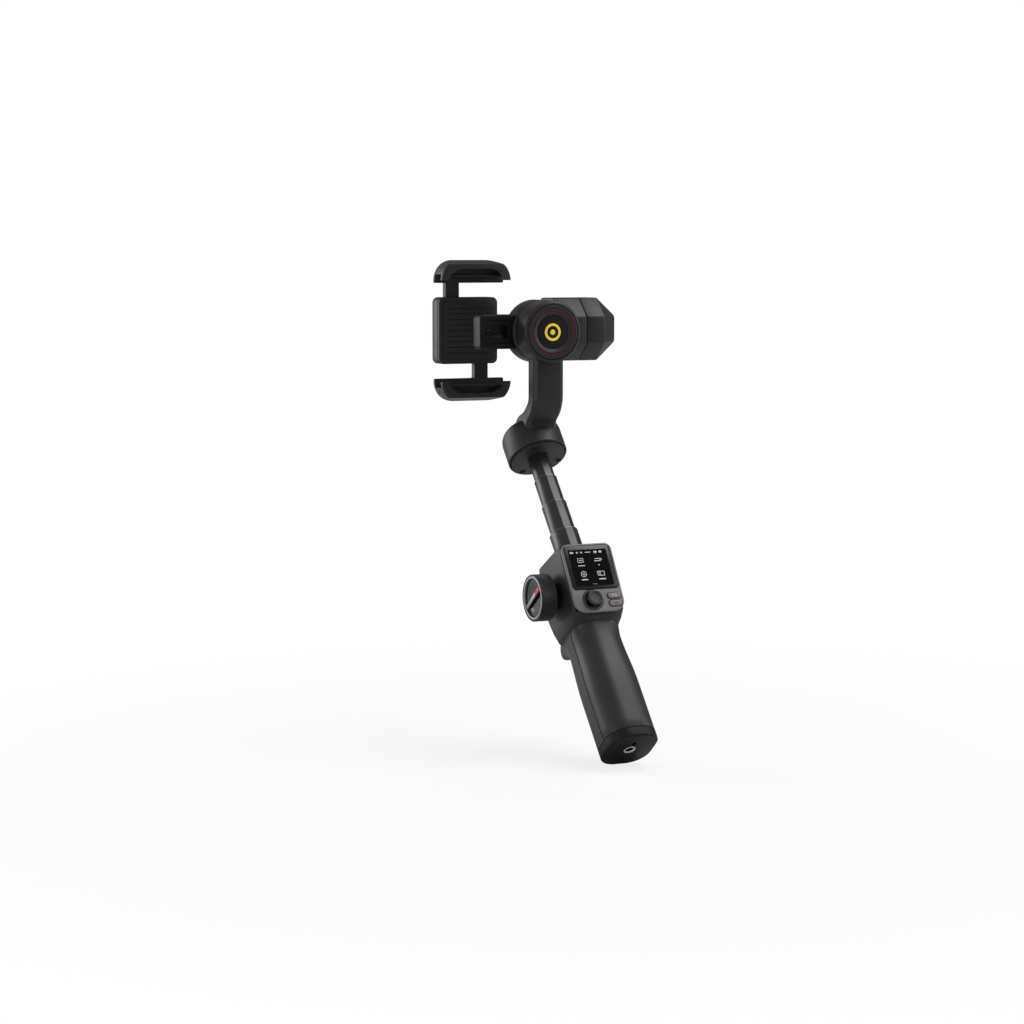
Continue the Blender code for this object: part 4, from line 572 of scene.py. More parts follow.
def boolean(bm, tool, operation):
    """Join, cut or intersect two bmeshes with a Boolean modifier; both are used up."""
    made = [add_object("work", to_mesh(clean(source))) for source in (bm, tool)]
    modifier = made[0].modifiers.new("work", "BOOLEAN")
    modifier.operation = operation
    modifier.object = made[1]
    bpy.context.view_layer.update()
    done = made[0].evaluated_get(bpy.context.evaluated_depsgraph_get())
    result = bmesh.new()
    result.from_mesh(done.to_mesh())
    done.to_mesh_clear()
    for obj in made:
        mesh = obj.data
        bpy.data.objects.remove(obj, do_unlink=True)
        bpy.data.meshes.remove(mesh)
    if not result.faces:
        raise RuntimeError("a Boolean left nothing of a piece")
    return result


def less(bm, *tools):
    for tool in tools:
        bm = boolean(bm, tool, "DIFFERENCE")
    return bm


def plus(bm, *tools):
    for tool in tools:
        bm = boolean(bm, tool, "UNION")
    return bm


def gathered(shapes):
    """Several separate shapes in one bmesh."""
    bm = bmesh.new()
    for shape in shapes:
        mesh = to_mesh(shape)
        bm.from_mesh(mesh)
        bpy.data.meshes.remove(mesh)
    return bm


def ring_loop(bm, steps, corners, height, slope=0.0, pivot=0.0):
    """One closed loop through rounded corners, that climbs by slope from height at b = pivot. Returns its
    edges and its face."""
    old_edges, old_verts = set(bm.edges), set(bm.verts)
    points = [bm.verts.new((*row[:2], 0)) for row in corners]
    bm.faces.new(points)
    round_corners(bm, points, corners, steps)
    for vert in bm.verts:
        if vert not in old_verts:
            vert.co.z = height + (vert.co.y - pivot) * slope
    edges = [edge for edge in bm.edges if edge not in old_edges]
    return edges, edges[0].link_faces[0]


def lofted(sections, steps=8):
    """A closed skin through sections, each given as ring_loop takes them, by bridging their loops."""
    bm = bmesh.new()
    loops = [ring_loop(bm, steps, *section) for section in sections]
    bmesh.ops.delete(bm, geom=[face for _, face in loops[1:-1]], context="FACES_ONLY")
    for lower, upper in zip(loops, loops[1:]):
        bmesh.ops.bridge_loops(bm, edges=lower[0] + upper[0])
    bmesh.ops.recalc_face_normals(bm, faces=bm.faces)
    return bm


def eased(keys, parts):
    """Rows of numbers between key rows, parts to an interval, through a curve that never overshoots."""
    places = [row[0] for row in keys]
    columns = list(zip(*keys))

    def slopes(values):
        steps = [(b - a) / (q - p) for a, b, p, q in zip(values, values[1:], places, places[1:])]
        inner = [0 if a * b <= 0 else 2 * a * b / (a + b) for a, b in zip(steps, steps[1:])]
        return [steps[0]] + inner + [steps[-1]]

    tangents = [slopes(column) for column in columns]
    rows = []
    for index in range(len(keys) - 1):
        span = places[index + 1] - places[index]
        for step in range(parts):
            t = step / parts
            start = 2 * t ** 3 - 3 * t ** 2 + 1
            leave = (t ** 3 - 2 * t ** 2 + t) * span
            arrive = (t ** 3 - t ** 2) * span
            rows.append([start * column[index] + leave * tangent[index] + (1 - start) * column[index + 1]
                         + arrive * tangent[index + 1] for column, tangent in zip(columns, tangents)])
    return rows + [list(keys[-1])]


def handle_form(inset=0.0):
    """Outer skin of grip and head, in the handle frame."""
    handle, controls, rod = sizes("handle", "controls", "rod")
    slope = math.tan(controls.tilt)
    foot_depth, foot = panel_foot()
    behind = (controls.thickness + CLEAR) / math.cos(controls.tilt)
    head = controls.length * math.cos(controls.tilt)

    def face(height, lean):
        """Depth just behind the panel, in a section with this lean."""
        rise = height + rod.offset * lean - foot
        return (foot_depth + behind - rise * slope) / (1 + slope * lean)

    full, depth, waist, corner = handle.half_width, handle.half_depth, handle.waist, handle.corner
    wide, reach, rear = handle.head_half, handle.head_back, handle.head_corner
    slim, soft, crisp, chin = full - waist, 0.8 * corner, 0.0012, 0.9 * controls.foot_corner
    lower, shoulder, belly, nape = [foot + up for up in (0.5 * chin, 0.16 * head, 0.42 * head, 0.78 * head)]
    top = head_top()
    keys = [  # height, half width, front, back, front corner, rear corner, lean
        (handle.cap_height + CLEAR, full, -depth, depth, corner, corner, 0),
        (handle.grip_top / 2, full, -depth, depth, corner, corner, 0),
        (0.88 * handle.grip_top, slim, waist - depth, depth - waist, corner, corner, 0),
        (handle.grip_top - 0.0005, slim, 0.5 * waist - depth, depth - 2 * waist, soft, soft, 0),
        (foot, wide - 0.0008, face(foot, 0), depth - waist, chin, rear, 0),
        (lower, wide - 0.0003, face(lower, 0), depth - 0.5 * waist, 0.3 * chin, rear, 0),
        (shoulder, wide, face(shoulder, slope / 3), reach - 0.0016, crisp, rear, slope / 3),
        (belly, wide, face(belly, slope / 2), reach, crisp, rear, slope / 2),
        (nape, wide, face(nape, slope), reach - 0.0030, crisp, rear, slope),
        (top, wide - 0.0008, face(top, slope), reach - 0.0095, crisp, rear, slope),
    ]
    sections = []
    for height, half, front, back, near, far, lean in eased(keys, 6):
        outline = oblong(inset - half, half - inset, front + inset, back - inset, near, far)
        sections.append((outline, height, lean, -rod.offset))
    bm = lofted(sections)
    roof = max(bm.faces, key=lambda item: item.calc_center_median().z)
    soften(bm, list(roof.edges), 0.0007)
    return bm


def cover_room(grow):
    """Room of the front cover: straight up the seam, then forward under the head with a finer gap."""
    handle = sizes("handle")
    front, back, dip = -handle.half_depth - PAST, handle.seam + grow, handle.cover_dip
    top, wide = handle.grip_top + 0.3 * grow, handle.head_half + PAST
    outline = [(front, -PAST), (back, -PAST), (back, top - dip, 0.0006), (back - dip, top, 0.002), (front, top)]
    return placed(slab(outline, -wide, wide), TO_X)


def battery_bay():
    return pin(0.0094, 0, sizes("handle").cap_height + 0.0686)


def trigger_pin():
    """Place of the trigger's pin in the handle frame."""
    handle = sizes("handle")
    return shift(0, handle.half_depth - 2 * handle.waist - handle.trigger_depth, handle.grip_top + 0.0045)


def keyed(radius, low, high):
    """A round bar with the tubes' key flat at its front."""
    bm = bmesh.new()
    bmesh.ops.create_circle(bm, cap_ends=True, radius=radius, segments=96)
    flat = radius - sizes("rod").flat
    for vert in bm.verts:
        vert.co.y, vert.co.z = max(vert.co.y, -flat), low
    return extruded(bm, high - low)


class GIMBAL_OT_handle(bpy.types.Operator):
    """Model the handle shell, the front cover, the end cap and the tripod insert"""
    bl_idname = "gimbal.handle"
    bl_label = "Handle"

    def execute(self, context):
        handle, controls, rod = sizes("handle", "controls", "rod")
        place, gap, top = handle_place(), handle.seam_gap, head_top()
        inverse = place.inverted()
        seat = keyed(rod.outer + CLEAR, top - 0.0163, top + 0.02)
        pocket = cuboid((-0.0179, 0.0022, -0.0099), (0.0179, controls.length - 0.0022, PAST))
        half = handle.trigger_half + CLEAR
        slot = cuboid((-half, -0.0045, -handle.trigger_length - 0.0012), (half, 0.02, 0.0036))
        across, up = controls.wheel_y, panel_foot()[1] + controls.wheel_rise
        port = oblong(across - 0.0020, across + 0.0020, up - 0.0049, up + 0.0049, 0.002)
        axle = pin(SHAFT_BORE, -0.0083, PAST)
        shell = less(handle_form(), cover_room(gap / 2), battery_bay(), placed(seat, shift(0, -rod.offset, 0)),
                     placed(pocket, inverse @ panel_place()), placed(slot, trigger_pin()),
                     placed(slab(port, 0.0122, 0.025), TO_X), placed(axle, inverse @ wheel_place()))
        finish_piece("handle_back_and_head", shell, place, "charcoal", "handle", "handle_shell")
        # Painted shade: a black sheet 1.2 mm under the skin, behind the seam gap, so that the seam reads dark
        liner = boolean(handle_form(0.0012), cover_room(gap), "INTERSECT")
        finish_piece("seam_liner", less(liner, cover_room(-gap), battery_bay()), place, "black", "handle")
        cover = boolean(handle_form(), cover_room(-gap / 2), "INTERSECT")
        soften(cover, sharp_edges(cover, 50), 0.00022, 2)
        cover = less(cover, battery_bay())
        finish_piece("front_grip_cover", cover, place, "grip", "handle", "grip_front_cover")
        self.end_cap(handle, place)
        return {"FINISHED"}

    def end_cap(self, handle, place):
        """Black cap with a round edge, the locating hole and the threaded insert."""
        edge, rim, high = handle.cap_chamfer, 0.0003, handle.cap_height
        arc = [math.pi / 8 * step for step in range(5)]
        steps = [(edge * (1 - math.sin(angle)), edge * (1 - math.cos(angle))) for angle in arc]
        rings = []
        for inset, height in steps + [(0, high - rim), (rim, high)]:
            wide, deep = handle.half_width - inset, handle.half_depth - inset
            rings.append((oblong(-wide, wide, -deep, deep, handle.corner - inset), height))
        outer, bore, deep = handle.insert_radius, handle.insert_bore, handle.insert_length
        cap = plus(lofted(rings), pin(0.0091, 0.0035, high + 0.003, 64))
        hole = placed(pin(0.0019, -PAST, 0.0035, 32), shift(0, -handle.pin_hole, 0))
        cap = less(cap, pin(outer + CLEAR, -PAST, deep + CLEAR), hole)
        finish_piece("end_cap_moulding", cap, place, "black", "handle", "end_cap")
        wall, lip, face = bore + 0.0006, 0.0010, bore + 0.0001
        ring = spun([(face, 0, 0.0001), (outer, 0, 0.0002), (outer, deep, 0.0002), (wall, deep), (wall, lip),
                     (face, lip)])
        finish_piece("insert_ring", ring, place, "plated", "handle", "tripod_insert")
        # The thread takes the black finish: painted shade that darkens the bore of the plated insert
        start, pitch = lip + 0.0001, 0.00127
        thread = [(bore + 0.0005, start), (wall, start), (wall, deep), (bore, deep)]
        for step in range(4):
            height = deep - (step + 0.5) * pitch
            thread += [(bore, height + 0.25 * pitch), (bore + 0.00045, height)]
        finish_piece("insert_thread", spun(thread + [(bore, start)]), place, "black", "handle")


class GIMBAL_OT_panel(bpy.types.Operator):
    """Model the control panel, its display glass and the marks on the display"""
    bl_idname = "gimbal.panel"
    bl_label = "Control panel"

    def execute(self, context):
        controls = sizes("controls")
        place = panel_place()
        half, wide, corner = controls.width / 2, controls.glass_width / 2, 0.003
        high = controls.length - controls.glass_top
        low = high - controls.glass_length
        outline = oblong(-half, half, 0, controls.length, controls.foot_corner, controls.top_corner)
        room = oblong(-wide - CLEAR, wide + CLEAR, low - CLEAR, high + CLEAR, corner)
        bezel = pin(controls.bezel_radius + CLEAR, -0.01, 0.01, 96)
        rooms = [slab(room, -0.0015, PAST), placed(bezel, shift(controls.stick_x, controls.stick_up, 0))]
        room = pill(controls.button_width / 2 + 2 * CLEAR, controls.button_height / 2 + 2 * CLEAR)
        for up in (controls.mode_up, controls.record_up):
            rooms.append(placed(slab(room, -0.01, 0.01), shift(controls.button_x, up, 0)))
        panel = less(slab(outline, -controls.thickness, 0, 0.0007, 10), *rooms)
        finish_piece("control_panel_plate", panel, place, "panel", "handle", "control_panel")
        glass = slab(oblong(-wide, wide, low, high, corner), -0.0012, 0, 0.00025, 8)
        finish_piece("display_cover_glass", glass, place, "surround", "handle", "display_glass")
        lit = oblong(0.0030 - wide, wide - 0.0030, low + 0.0026, high - 0.0030, 0.0006)
        finish_piece("display_screen", slab(lit, -0.0001, 0.00001, 0, 4), place, "glass", "handle")
        finish_piece("display_marks", self.marks(low, high), place, "print", "handle")
        return {"FINISHED"}

    def marks(self, low, high):
        """Plain symbols: a status row, four icons with caption bars, and page dots."""
        base, top = 0.00002, 0.00007
        shapes = []

        def add(shape, x, y, degrees=0):
            shapes.append(placed(shape, shift(x, y, 0) @ about_z(degrees)))

        def bar(x, y, long, tall, degrees=0):
            add(slab(pill(long / 2, tall / 2), base, top, 0, 3), x, y, degrees)

        def loop(x, y, radius, width):
            add(turned(radius - width, radius, top, base, steps=32), x, y)

        def border(x, y, long, tall, width):
            for side in (-1, 1):
                bar(x, y + side * (tall - width) / 2, long, width)
                bar(x + side * (long - width) / 2, y, tall, width, 90)

        for x, long, tall in ((-0.0122, 0.0030, 0.0013), (-0.0080, 0.0016, 0.0013), (-0.0048, 0.0016, 0.0011),
                              (0.0002, 0.0044, 0.0006), (0.0060, 0.0026, 0.0017), (0.0098, 0.0022, 0.0017)):
            bar(x, high - 0.0052, long, tall)
        left, right, upper, lower = -0.0068, 0.0066, high - 0.0112, high - 0.0216
        border(left, upper, 0.0046, 0.0034, 0.0005)
        bar(left, upper, 0.0022, 0.0005)
        for step in (-1, 1):
            bar(right + 0.0004 * step, upper + 0.0008 * step, 0.0052, 0.0006)
        loop(right + 0.0024, upper + 0.0002, 0.0008, 0.0004)
        loop(left, lower, 0.0022, 0.0005)
        loop(left, lower, 0.0008, 0.0005)
        border(right, lower, 0.0056, 0.0036, 0.0005)
        loop(right - 0.0010, lower, 0.0009, 0.0004)
        for x, caption in ((left, 0.0052), (right, 0.0012)):
            bar(x, upper - 0.0040, caption, 0.0007)
            bar(x, lower - 0.0042, 0.0052, 0.0009)
        for x in (-0.0012, 0.0, 0.0012):
            bar(x, low + 0.0038, 0.0005, 0.0004)
        return gathered(shapes)


class GIMBAL_OT_joystick(bpy.types.Operator):
    """Model the joystick's bezel and its dished cap"""
    bl_idname = "gimbal.joystick"
    bl_label = "Joystick"

    def execute(self, context):
        controls = sizes("controls")
        place = panel_place(controls.stick_x, controls.stick_up)
        outer, bore, deep = controls.bezel_radius, controls.bezel_bore, -controls.thickness
        bezel = spun([(bore + 0.0004, 0.0004, 0.0002), (outer - 0.0009, 0.0004, 0.0003),
                      (outer, -0.0001, 0.0002), (outer, deep, 0.0002), (bore, deep, 0.0002),
                      (bore, -0.0003, 0.0003)])
        finish_piece("stick_bezel", bezel, place, "stick", "handle", "joystick_bezel")
        wide, under, stem, foot = controls.stick_radius, controls.stick_rise, 0.0020, -0.0064
        top = under + controls.stick_cap
        stick = spun([(0, top - 0.0013), (wide - 0.0020, top - 0.0011, 0.0005), (wide - 0.0010, top, 0.0002),
                      (wide - 0.0002, top - 0.0003, 0.0003), (wide, top - 0.0010, 0.0002),
                      (wide - 0.0002, top - 0.0013), (wide, top - 0.0016), (wide, under + 0.0005, 0.0004),
                      (wide - 0.0008, under, 0.0003), (stem, under, 0.0004), (stem, foot, 0.0002), (0, foot)])
        axle = placed(pin(0.0006, -0.0047, 0.0047, 24), shift(0, 0, -0.005) @ ALONG_Y)
        finish_piece("stick_cap", plus(stick, axle), place, "stick", "joystick_stick", "joystick_stick")
        return {"FINISHED"}


class GIMBAL_OT_buttons(bpy.types.Operator):
    """Model the two pill buttons and the mark on each"""
    bl_idname = "gimbal.buttons"
    bl_label = "Buttons"

    def execute(self, context):
        controls = sizes("controls")
        half, radius = controls.button_width / 2, controls.button_height / 2
        under = -controls.thickness - CLEAR
        for name, up in (("mode_button", controls.mode_up), ("record_button", controls.record_up)):
            place = panel_place(controls.button_x, up)
            flange = slab(pill(half + 0.0004, radius + 0.0004), under - 0.0008, under, 0.0001)
            body = plus(slab(pill(half, radius), under - 0.0004, 0.0009, 0.00035), flange)
            finish_piece(name + "_cap", body, place, "panel", name, name)
            if name == "mode_button":
                dots = [placed(self.mark(0.0005, 0.0007), shift(x, 0, 0)) for x in (-0.0010, 0.0012)]
                finish_piece("mode_mark", gathered(dots), place, "print", name)
            else:
                finish_piece("record_mark", self.mark(0.0019, 0.0006), place, "record", name)
        return {"FINISHED"}

    def mark(self, half, radius):
        """A thin bar just above a button's face."""
        level, thick = 0.00091, 0.00006
        return slab(pill(half, radius), level, level + thick, 0, 3)


class GIMBAL_OT_trigger(bpy.types.Operator):
    """Model the trigger at the back of the handle"""
    bl_idname = "gimbal.trigger"
    bl_label = "Trigger"

    def execute(self, context):
        handle = sizes("handle")
        low, depth, wide = -handle.trigger_length, handle.trigger_depth, handle.trigger_half
        inner, proud = -depth / 2, depth + handle.trigger_proud
        middle, half = (depth + low) / 2, (depth - low) / 2
        outline = []
        for step in range(31):
            angle = math.radians(90 - 6 * step)
            bulge = max(0.0, math.cos(angle)) ** (0.6 if angle > 0 else 1.7)
            outline.append((inner + (proud - inner) * bulge, middle + half * math.sin(angle)))
        lever = placed(slab(outline, -wide, wide, 0.0006, 8), TO_X)
        lever = less(lever, placed(pin(0.0014, -0.02, 0.02, 32), ALONG_X))
        finish_piece("trigger_lever", lever, handle_place() @ trigger_pin(), "charcoal", "trigger", "trigger")
        return {"FINISHED"}


class GIMBAL_OT_focus_wheel(bpy.types.Operator):
    """Model the focus wheel: knurled rim, silver ring, dark dish and pointer"""
    bl_idname = "gimbal.focus_wheel"
    bl_label = "Focus wheel"

    def execute(self, context):
        controls = sizes("controls")
        place, body = wheel_place(), "focus_wheel"
        neck, collar, shaft, root = controls.neck_length + CLEAR, controls.neck_radius, 0.0030, -0.0080
        low = neck + CLEAR
        high = low + controls.wheel_width
        floor = high - 0.0026
        end = floor - 0.0026
        axle = spun([(0, end), (shaft, end, 0.0003), (shaft, neck), (collar, neck, 0.0003),
                     (collar, CLEAR, 0.0002), (shaft, CLEAR), (shaft, root), (0, root)])
        finish_piece("wheel_neck", axle, place, "black", "handle", "wheel_axle")
        wheel = self.knurled(controls, low, high, floor, end)
        finish_piece("knurled_wheel", wheel, place, "charcoal", body, "focus_wheel")
        outer, seat = controls.trim_radius, floor + CLEAR
        inner, top = outer - controls.trim_width, seat + 0.0022
        ring = spun([(inner, seat), (outer, seat), (outer, top, 0.0004), (inner + 0.0003, top, 0.0003),
                     (inner, seat + 0.0014, 0.0002)])
        finish_piece("silver_ring", ring, place, "silver", body, "wheel_trim_ring")
        wide = inner - CLEAR
        dish = spun([(0, seat + 0.0002), (0.55 * wide, seat + 0.0003, 0.002), (wide, seat + 0.0008, 0.0002),
                     (wide, seat), (0, seat)])
        finish_piece("dark_dish", dish, place, "glass", body, "wheel_dish")
        self.pointer(place @ about_z(-90), body, wide, seat + 0.0011)
        return {"FINISHED"}

    def knurled(self, controls, low, high, floor, end):
        """Turned body whose rim band is poked into small pyramids."""
        rim, recess, bore = controls.wheel_radius, controls.trim_radius + CLEAR, SHAFT_BORE
        band_low, band_high, rows = low + 0.0020, high - 0.0012, 9
        profile = [(0, floor), (recess, floor), (recess, high), (rim - 0.0003, high, 0.0002),
                   (rim, high - 0.0006)]
        profile += [(rim - 0.0002, band_high + (band_low - band_high) * row / rows) for row in range(rows + 1)]
        profile += [(rim, low + 0.0014), (rim - 0.0014, low, 0.0006), (bore, low), (bore, end + CLEAR),
                    (0, end + CLEAR)]
        bm = spun(profile, controls.knurls * 2)
        band = []
        for face in bm.faces:
            middle = face.calc_center_median()
            if abs(middle.xy.length - rim) < 0.0004 and band_low < middle.z < band_high:
                band.append(face)
        bmesh.ops.poke(bm, faces=band, offset=0.00022)
        return bm

    def pointer(self, place, body, wide, low):
        """Silver bar across the dish, with a red tip at its upper end."""
        half, high, rim = 0.0015, low + 0.0010, 0.0003
        reach = math.sqrt(wide ** 2 - half ** 2) - CLEAR
        split = 0.42 * reach
        bar = cuboid((-reach, -half, low), (split, half, high), rim)
        finish_piece("pointer_bar", bar, place, "silver", body, "wheel_pointer")
        tip = cuboid((split + 0.0001, -half, low), (reach, half, high), rim)
        finish_piece("pointer_tip", tip, place, "signal", body)


class GIMBAL_OT_rod(bpy.types.Operator):
    """Model the four telescopic tubes, and a painted highlight ring near the top of three"""
    bl_idname = "gimbal.rod"
    bl_label = "Telescopic rod"

    def execute(self, context):
        rod, place, top = sizes("rod"), rod_place(), head_top()
        stages = ("outer", "lower", "middle", "upper")
        for stage, inner in zip(stages, (*stages[1:], None)):
            name, radius = "rod_" + stage, getattr(rod, stage)
            body = "handle" if stage == "outer" else name
            low = top - (0.016 if stage == "outer" else 0.008)
            top += getattr(rod, stage + "_shown")
            end = top - CLEAR
            bore = getattr(rod, inner) + CLEAR if inner else radius - 0.00045
            tube = keyed(radius, low, end)
            soften(tube, [edge for edge in flat_edges(tube) if edge.verts[0].co.z > low + 0.001], 0.0004, 2)
            tube = less(tube, keyed(bore, low - PAST, top + PAST))
            finish_piece(name + "_stage", tube, place, "rod", body, name + "_tube", 28)
            if inner:
                # A lighter ring just below the tube's top: a painted highlight in place of the light its edge
                # catches
                lip = keyed(radius + 0.00006, end - 0.0010, end - 0.0004)
                lip = less(lip, keyed(bore + 0.0001, top - 0.002, top + 0.002))
                finish_piece(name + "_lip", lip, place, "lip", body)
        return {"FINISHED"}


class GIMBAL_OT_pan_disc(bpy.types.Operator):
    """Model the disc on the rod's top, with its sunk screws and vents"""
    bl_idname = "gimbal.pan_disc"
    bl_label = "Pan disc"

    def execute(self, context):
        rod = sizes("rod")
        place = pan_place() @ Matrix.Rotation(rod.disc_turn, 4, "Z")
        wide, face, sunk = rod.pan_radius - rod.pan_rim - rod.disc_gap, -rod.disc_proud, 0.0015
        disc = turned(0, wide, 0.003, face, 0.0002, 0.0006, 128)
        boss = turned(BEARING_BORE, 0.007, 0.012, 0.0015, 0.0003)
        spots = [about_z(degrees) @ shift(rod.screw_circle, 0, face) for degrees in (144, 36)]
        holes = [placed(pin(0.0022, -PAST, sunk), spot) for spot in spots]
        vents = [cuboid((x - 0.0005, -0.0155, face - PAST), (x + 0.0005, -0.0135, face + sunk))
                 for x in (-0.0022, 0, 0.0022)]
        disc = less(plus(disc, boss), *holes, gathered(vents))
        finish_piece("pan_disc", disc, place, "charcoal", "rod_upper", "pan_base_disc")
        screws = []
        for spot in spots:
            hexagon = bmesh.new()
            bmesh.ops.create_cone(hexagon, cap_ends=True, segments=6, radius1=0.0010, radius2=0.0010,
                                  depth=0.0016, matrix=shift(0, 0, 0.0004))
            screws.append(placed(less(turned(0, 0.0019, 0.0003, 0.00149, 0.0004), hexagon), spot))
        finish_piece("pan_screws", gathered(screws), place, "black", "rod_upper")
        return {"FINISHED"}


class GIMBAL_OT_swing_arm(bpy.types.Operator):
    """Model the swing arm with its pan bell and roll cup, and its rear cover"""
    bl_idname = "gimbal.swing_arm"
    bl_label = "Swing arm"

    def execute(self, context):
        arm, rod = sizes("arm", "rod")
        place, body = roll_place(), "swing_arm"
        pan = place.inverted() @ pan_place()
        wide, deep, shelf = arm.roll_radius, arm.roll_depth, 0.0232 - arm.roll_height
        cup = placed(turned(0, wide, 0, deep, 0.0022, 0.0004, 128), ALONG_Y)
        bell = placed(turned(0, rod.pan_radius, 0.0245, -CLEAR, 0.0080, 0.0005, 128), pan)
        bell = less(bell, cuboid((-0.1, -0.1, shelf), (0.1, arm.setback - 0.25 * rod.pan_radius, 0.1)))
        shape = plus(self.neck(arm, rod, shelf), bell, cup)
        rim, roof, ledge = rod.pan_radius - rod.pan_rim, 0.0126, 0.0033
        hollow = spun([(0, roof), (RING_BORE, roof), (RING_BORE, ledge), (rim, ledge), (rim, -PAST),
                       (0, -PAST)])
        seat = pin(wide - arm.roll_rim, -PAST, arm.cap_depth + 2 * CLEAR, 128)
        room = pin(0.0194, 0.0086, deep + PAST, 96)
        rear, top = arm.arm_front + arm.arm_thickness, -wide - 0.0015
        pocket = slab(self.cover_outline(top, CLEAR), rear - 0.0017, rear + PAST)
        shape = less(shape, placed(hollow, pan), placed(seat, ALONG_Y), placed(room, ALONG_Y),
                     placed(pocket, TO_Y))
        finish_piece("swan_neck_arm", shape, place, "charcoal", body, "swing_arm", 30)
        cover = slab(self.cover_outline(top, 0), rear - 0.0014, rear, 0.0004)
        finish_piece("arm_back_cover", placed(cover, TO_Y), place, "black", body, "arm_rear_cover")
        return {"FINISHED"}

    def cover_outline(self, top, grow):
        half = 0.0085 + grow
        return oblong(-half, half, top - 0.020 - grow, top + grow, 0.002)

    def neck(self, arm, rod, shelf):
        """Sections from inside the roll cup down the swan neck into the pan bell."""
        front, rear = arm.arm_front, arm.arm_front + arm.arm_thickness
        half, bend, nose, sink = arm.arm_half, -arm.arm_bend, 0.003, 0.006
        bell_back = arm.setback + 0.55 * rod.pan_radius
        bell_front = arm.setback - 0.30 * rod.pan_radius
        start, drop = -0.55 * arm.roll_radius, shelf - bend
        keys = [  # step, front, back, height at the front, height at the back
            (0, front, rear, start, start),
            (1, front, rear, bend, bend),
            (2, front + 0.0012, rear + 0.0010, bend + 0.30 * drop, bend + 0.18 * drop),
            (3, front + 0.0045, rear + 0.0045, bend + 0.62 * drop, bend + 0.36 * drop),
            (4, front + 0.0105, bell_back - 0.0110, bend + 0.95 * drop, bend + 0.54 * drop),
            (5, bell_front, bell_back - 0.0020, shelf - sink, bend + 0.74 * drop),
            (6, bell_front + 0.0060, bell_back + 0.0060, shelf - 1.6 * sink, shelf - 0.8 * sink),
        ]
        sections = []
        for _, near, far, low, high in eased(keys, 7):
            corners = [(-half, far, 0.002), (-half, near + nose, 0.0006), (nose - half, near, 0.0006),
                       (half - nose, near, 0.0006), (half, near + nose, 0.0006), (half, far, 0.002)]
            sections.append((corners, low, (high - low) / (far - near), near))
        return lofted(sections, 4)


class GIMBAL_OT_roll_cap(bpy.types.Operator):
    """Model the roll cap with its accent ring, its centre disc and a plain mark"""
    bl_idname = "gimbal.roll_cap"
    bl_label = "Roll cap"

    def execute(self, context):
        arm = sizes("arm")
        place, body = roll_place() @ ALONG_Y, "swing_arm"
        edge, end = arm.roll_radius - arm.roll_rim - CLEAR, arm.cap_depth
        outer, inner = arm.accent + 0.0004 + CLEAR, arm.accent - 0.0004 - CLEAR
        seat, dish, sunk, groove = 0.0121, 0.0012, 0.0024, 0.001
        cap = spun([(0, sunk), (seat, sunk), (seat, dish, 0.0002), (inner - 0.0008, 0, 0.0004),
                    (inner, 0, 0.0001), (inner, groove), (outer, groove), (outer, 0, 0.0001),
                    (edge, 0, 0.0009), (edge, end, 0.0002), (0, end)], 128)
        finish_piece("roll_cap_front", cap, place, "charcoal", body, "roll_cap", 25)
        ring = turned(inner + CLEAR, outer - CLEAR, 0.0001, 0.0007, steps=128)
        finish_piece("roll_accent_ring", ring, place, "accent", body, "cap_accent_ring")
        wide, under = 0.0118, sunk - CLEAR
        disc = spun([(0, dish + 0.0002), (0.0100, dish, 0.002), (wide, dish + 0.0003, 0.0003), (wide, under),
                     (0, under)], 128)
        finish_piece("roll_centre_disc", disc, place, "black", body, "cap_centre_disc")
        level, back, inner, outer = dish - 0.0002, dish + 0.0003, 0.0044, 0.0062
        ring = spun([(inner, level, 0.0001), (outer, level, 0.0001), (outer, back), (inner, back)])
        dot = turned(0, 0.0019, level, back, 0.0001, steps=48)
        finish_piece("roll_mark", gathered([ring, dot]), place, "yellow", body)
        return {"FINISHED"}


def cup_back():
    """Depth of the drum's front, behind the roll cup and its running gap."""
    arm = sizes("arm")
    return arm.roll_depth + arm.roll_gap


def drum_radius():
    return sizes("arm").roll_radius + 0.0004


def octagon(apothem, corner=0.0):
    """Octagon in Y and Z about the tilt axis, with a flat to the front."""
    radius, middle = apothem / math.cos(math.pi / 8), sizes("arm").tilt_setback
    turns = [math.pi / 8 + math.pi / 4 * step for step in range(8)]
    return [(middle + radius * math.cos(angle), radius * math.sin(angle), corner) for angle in turns]


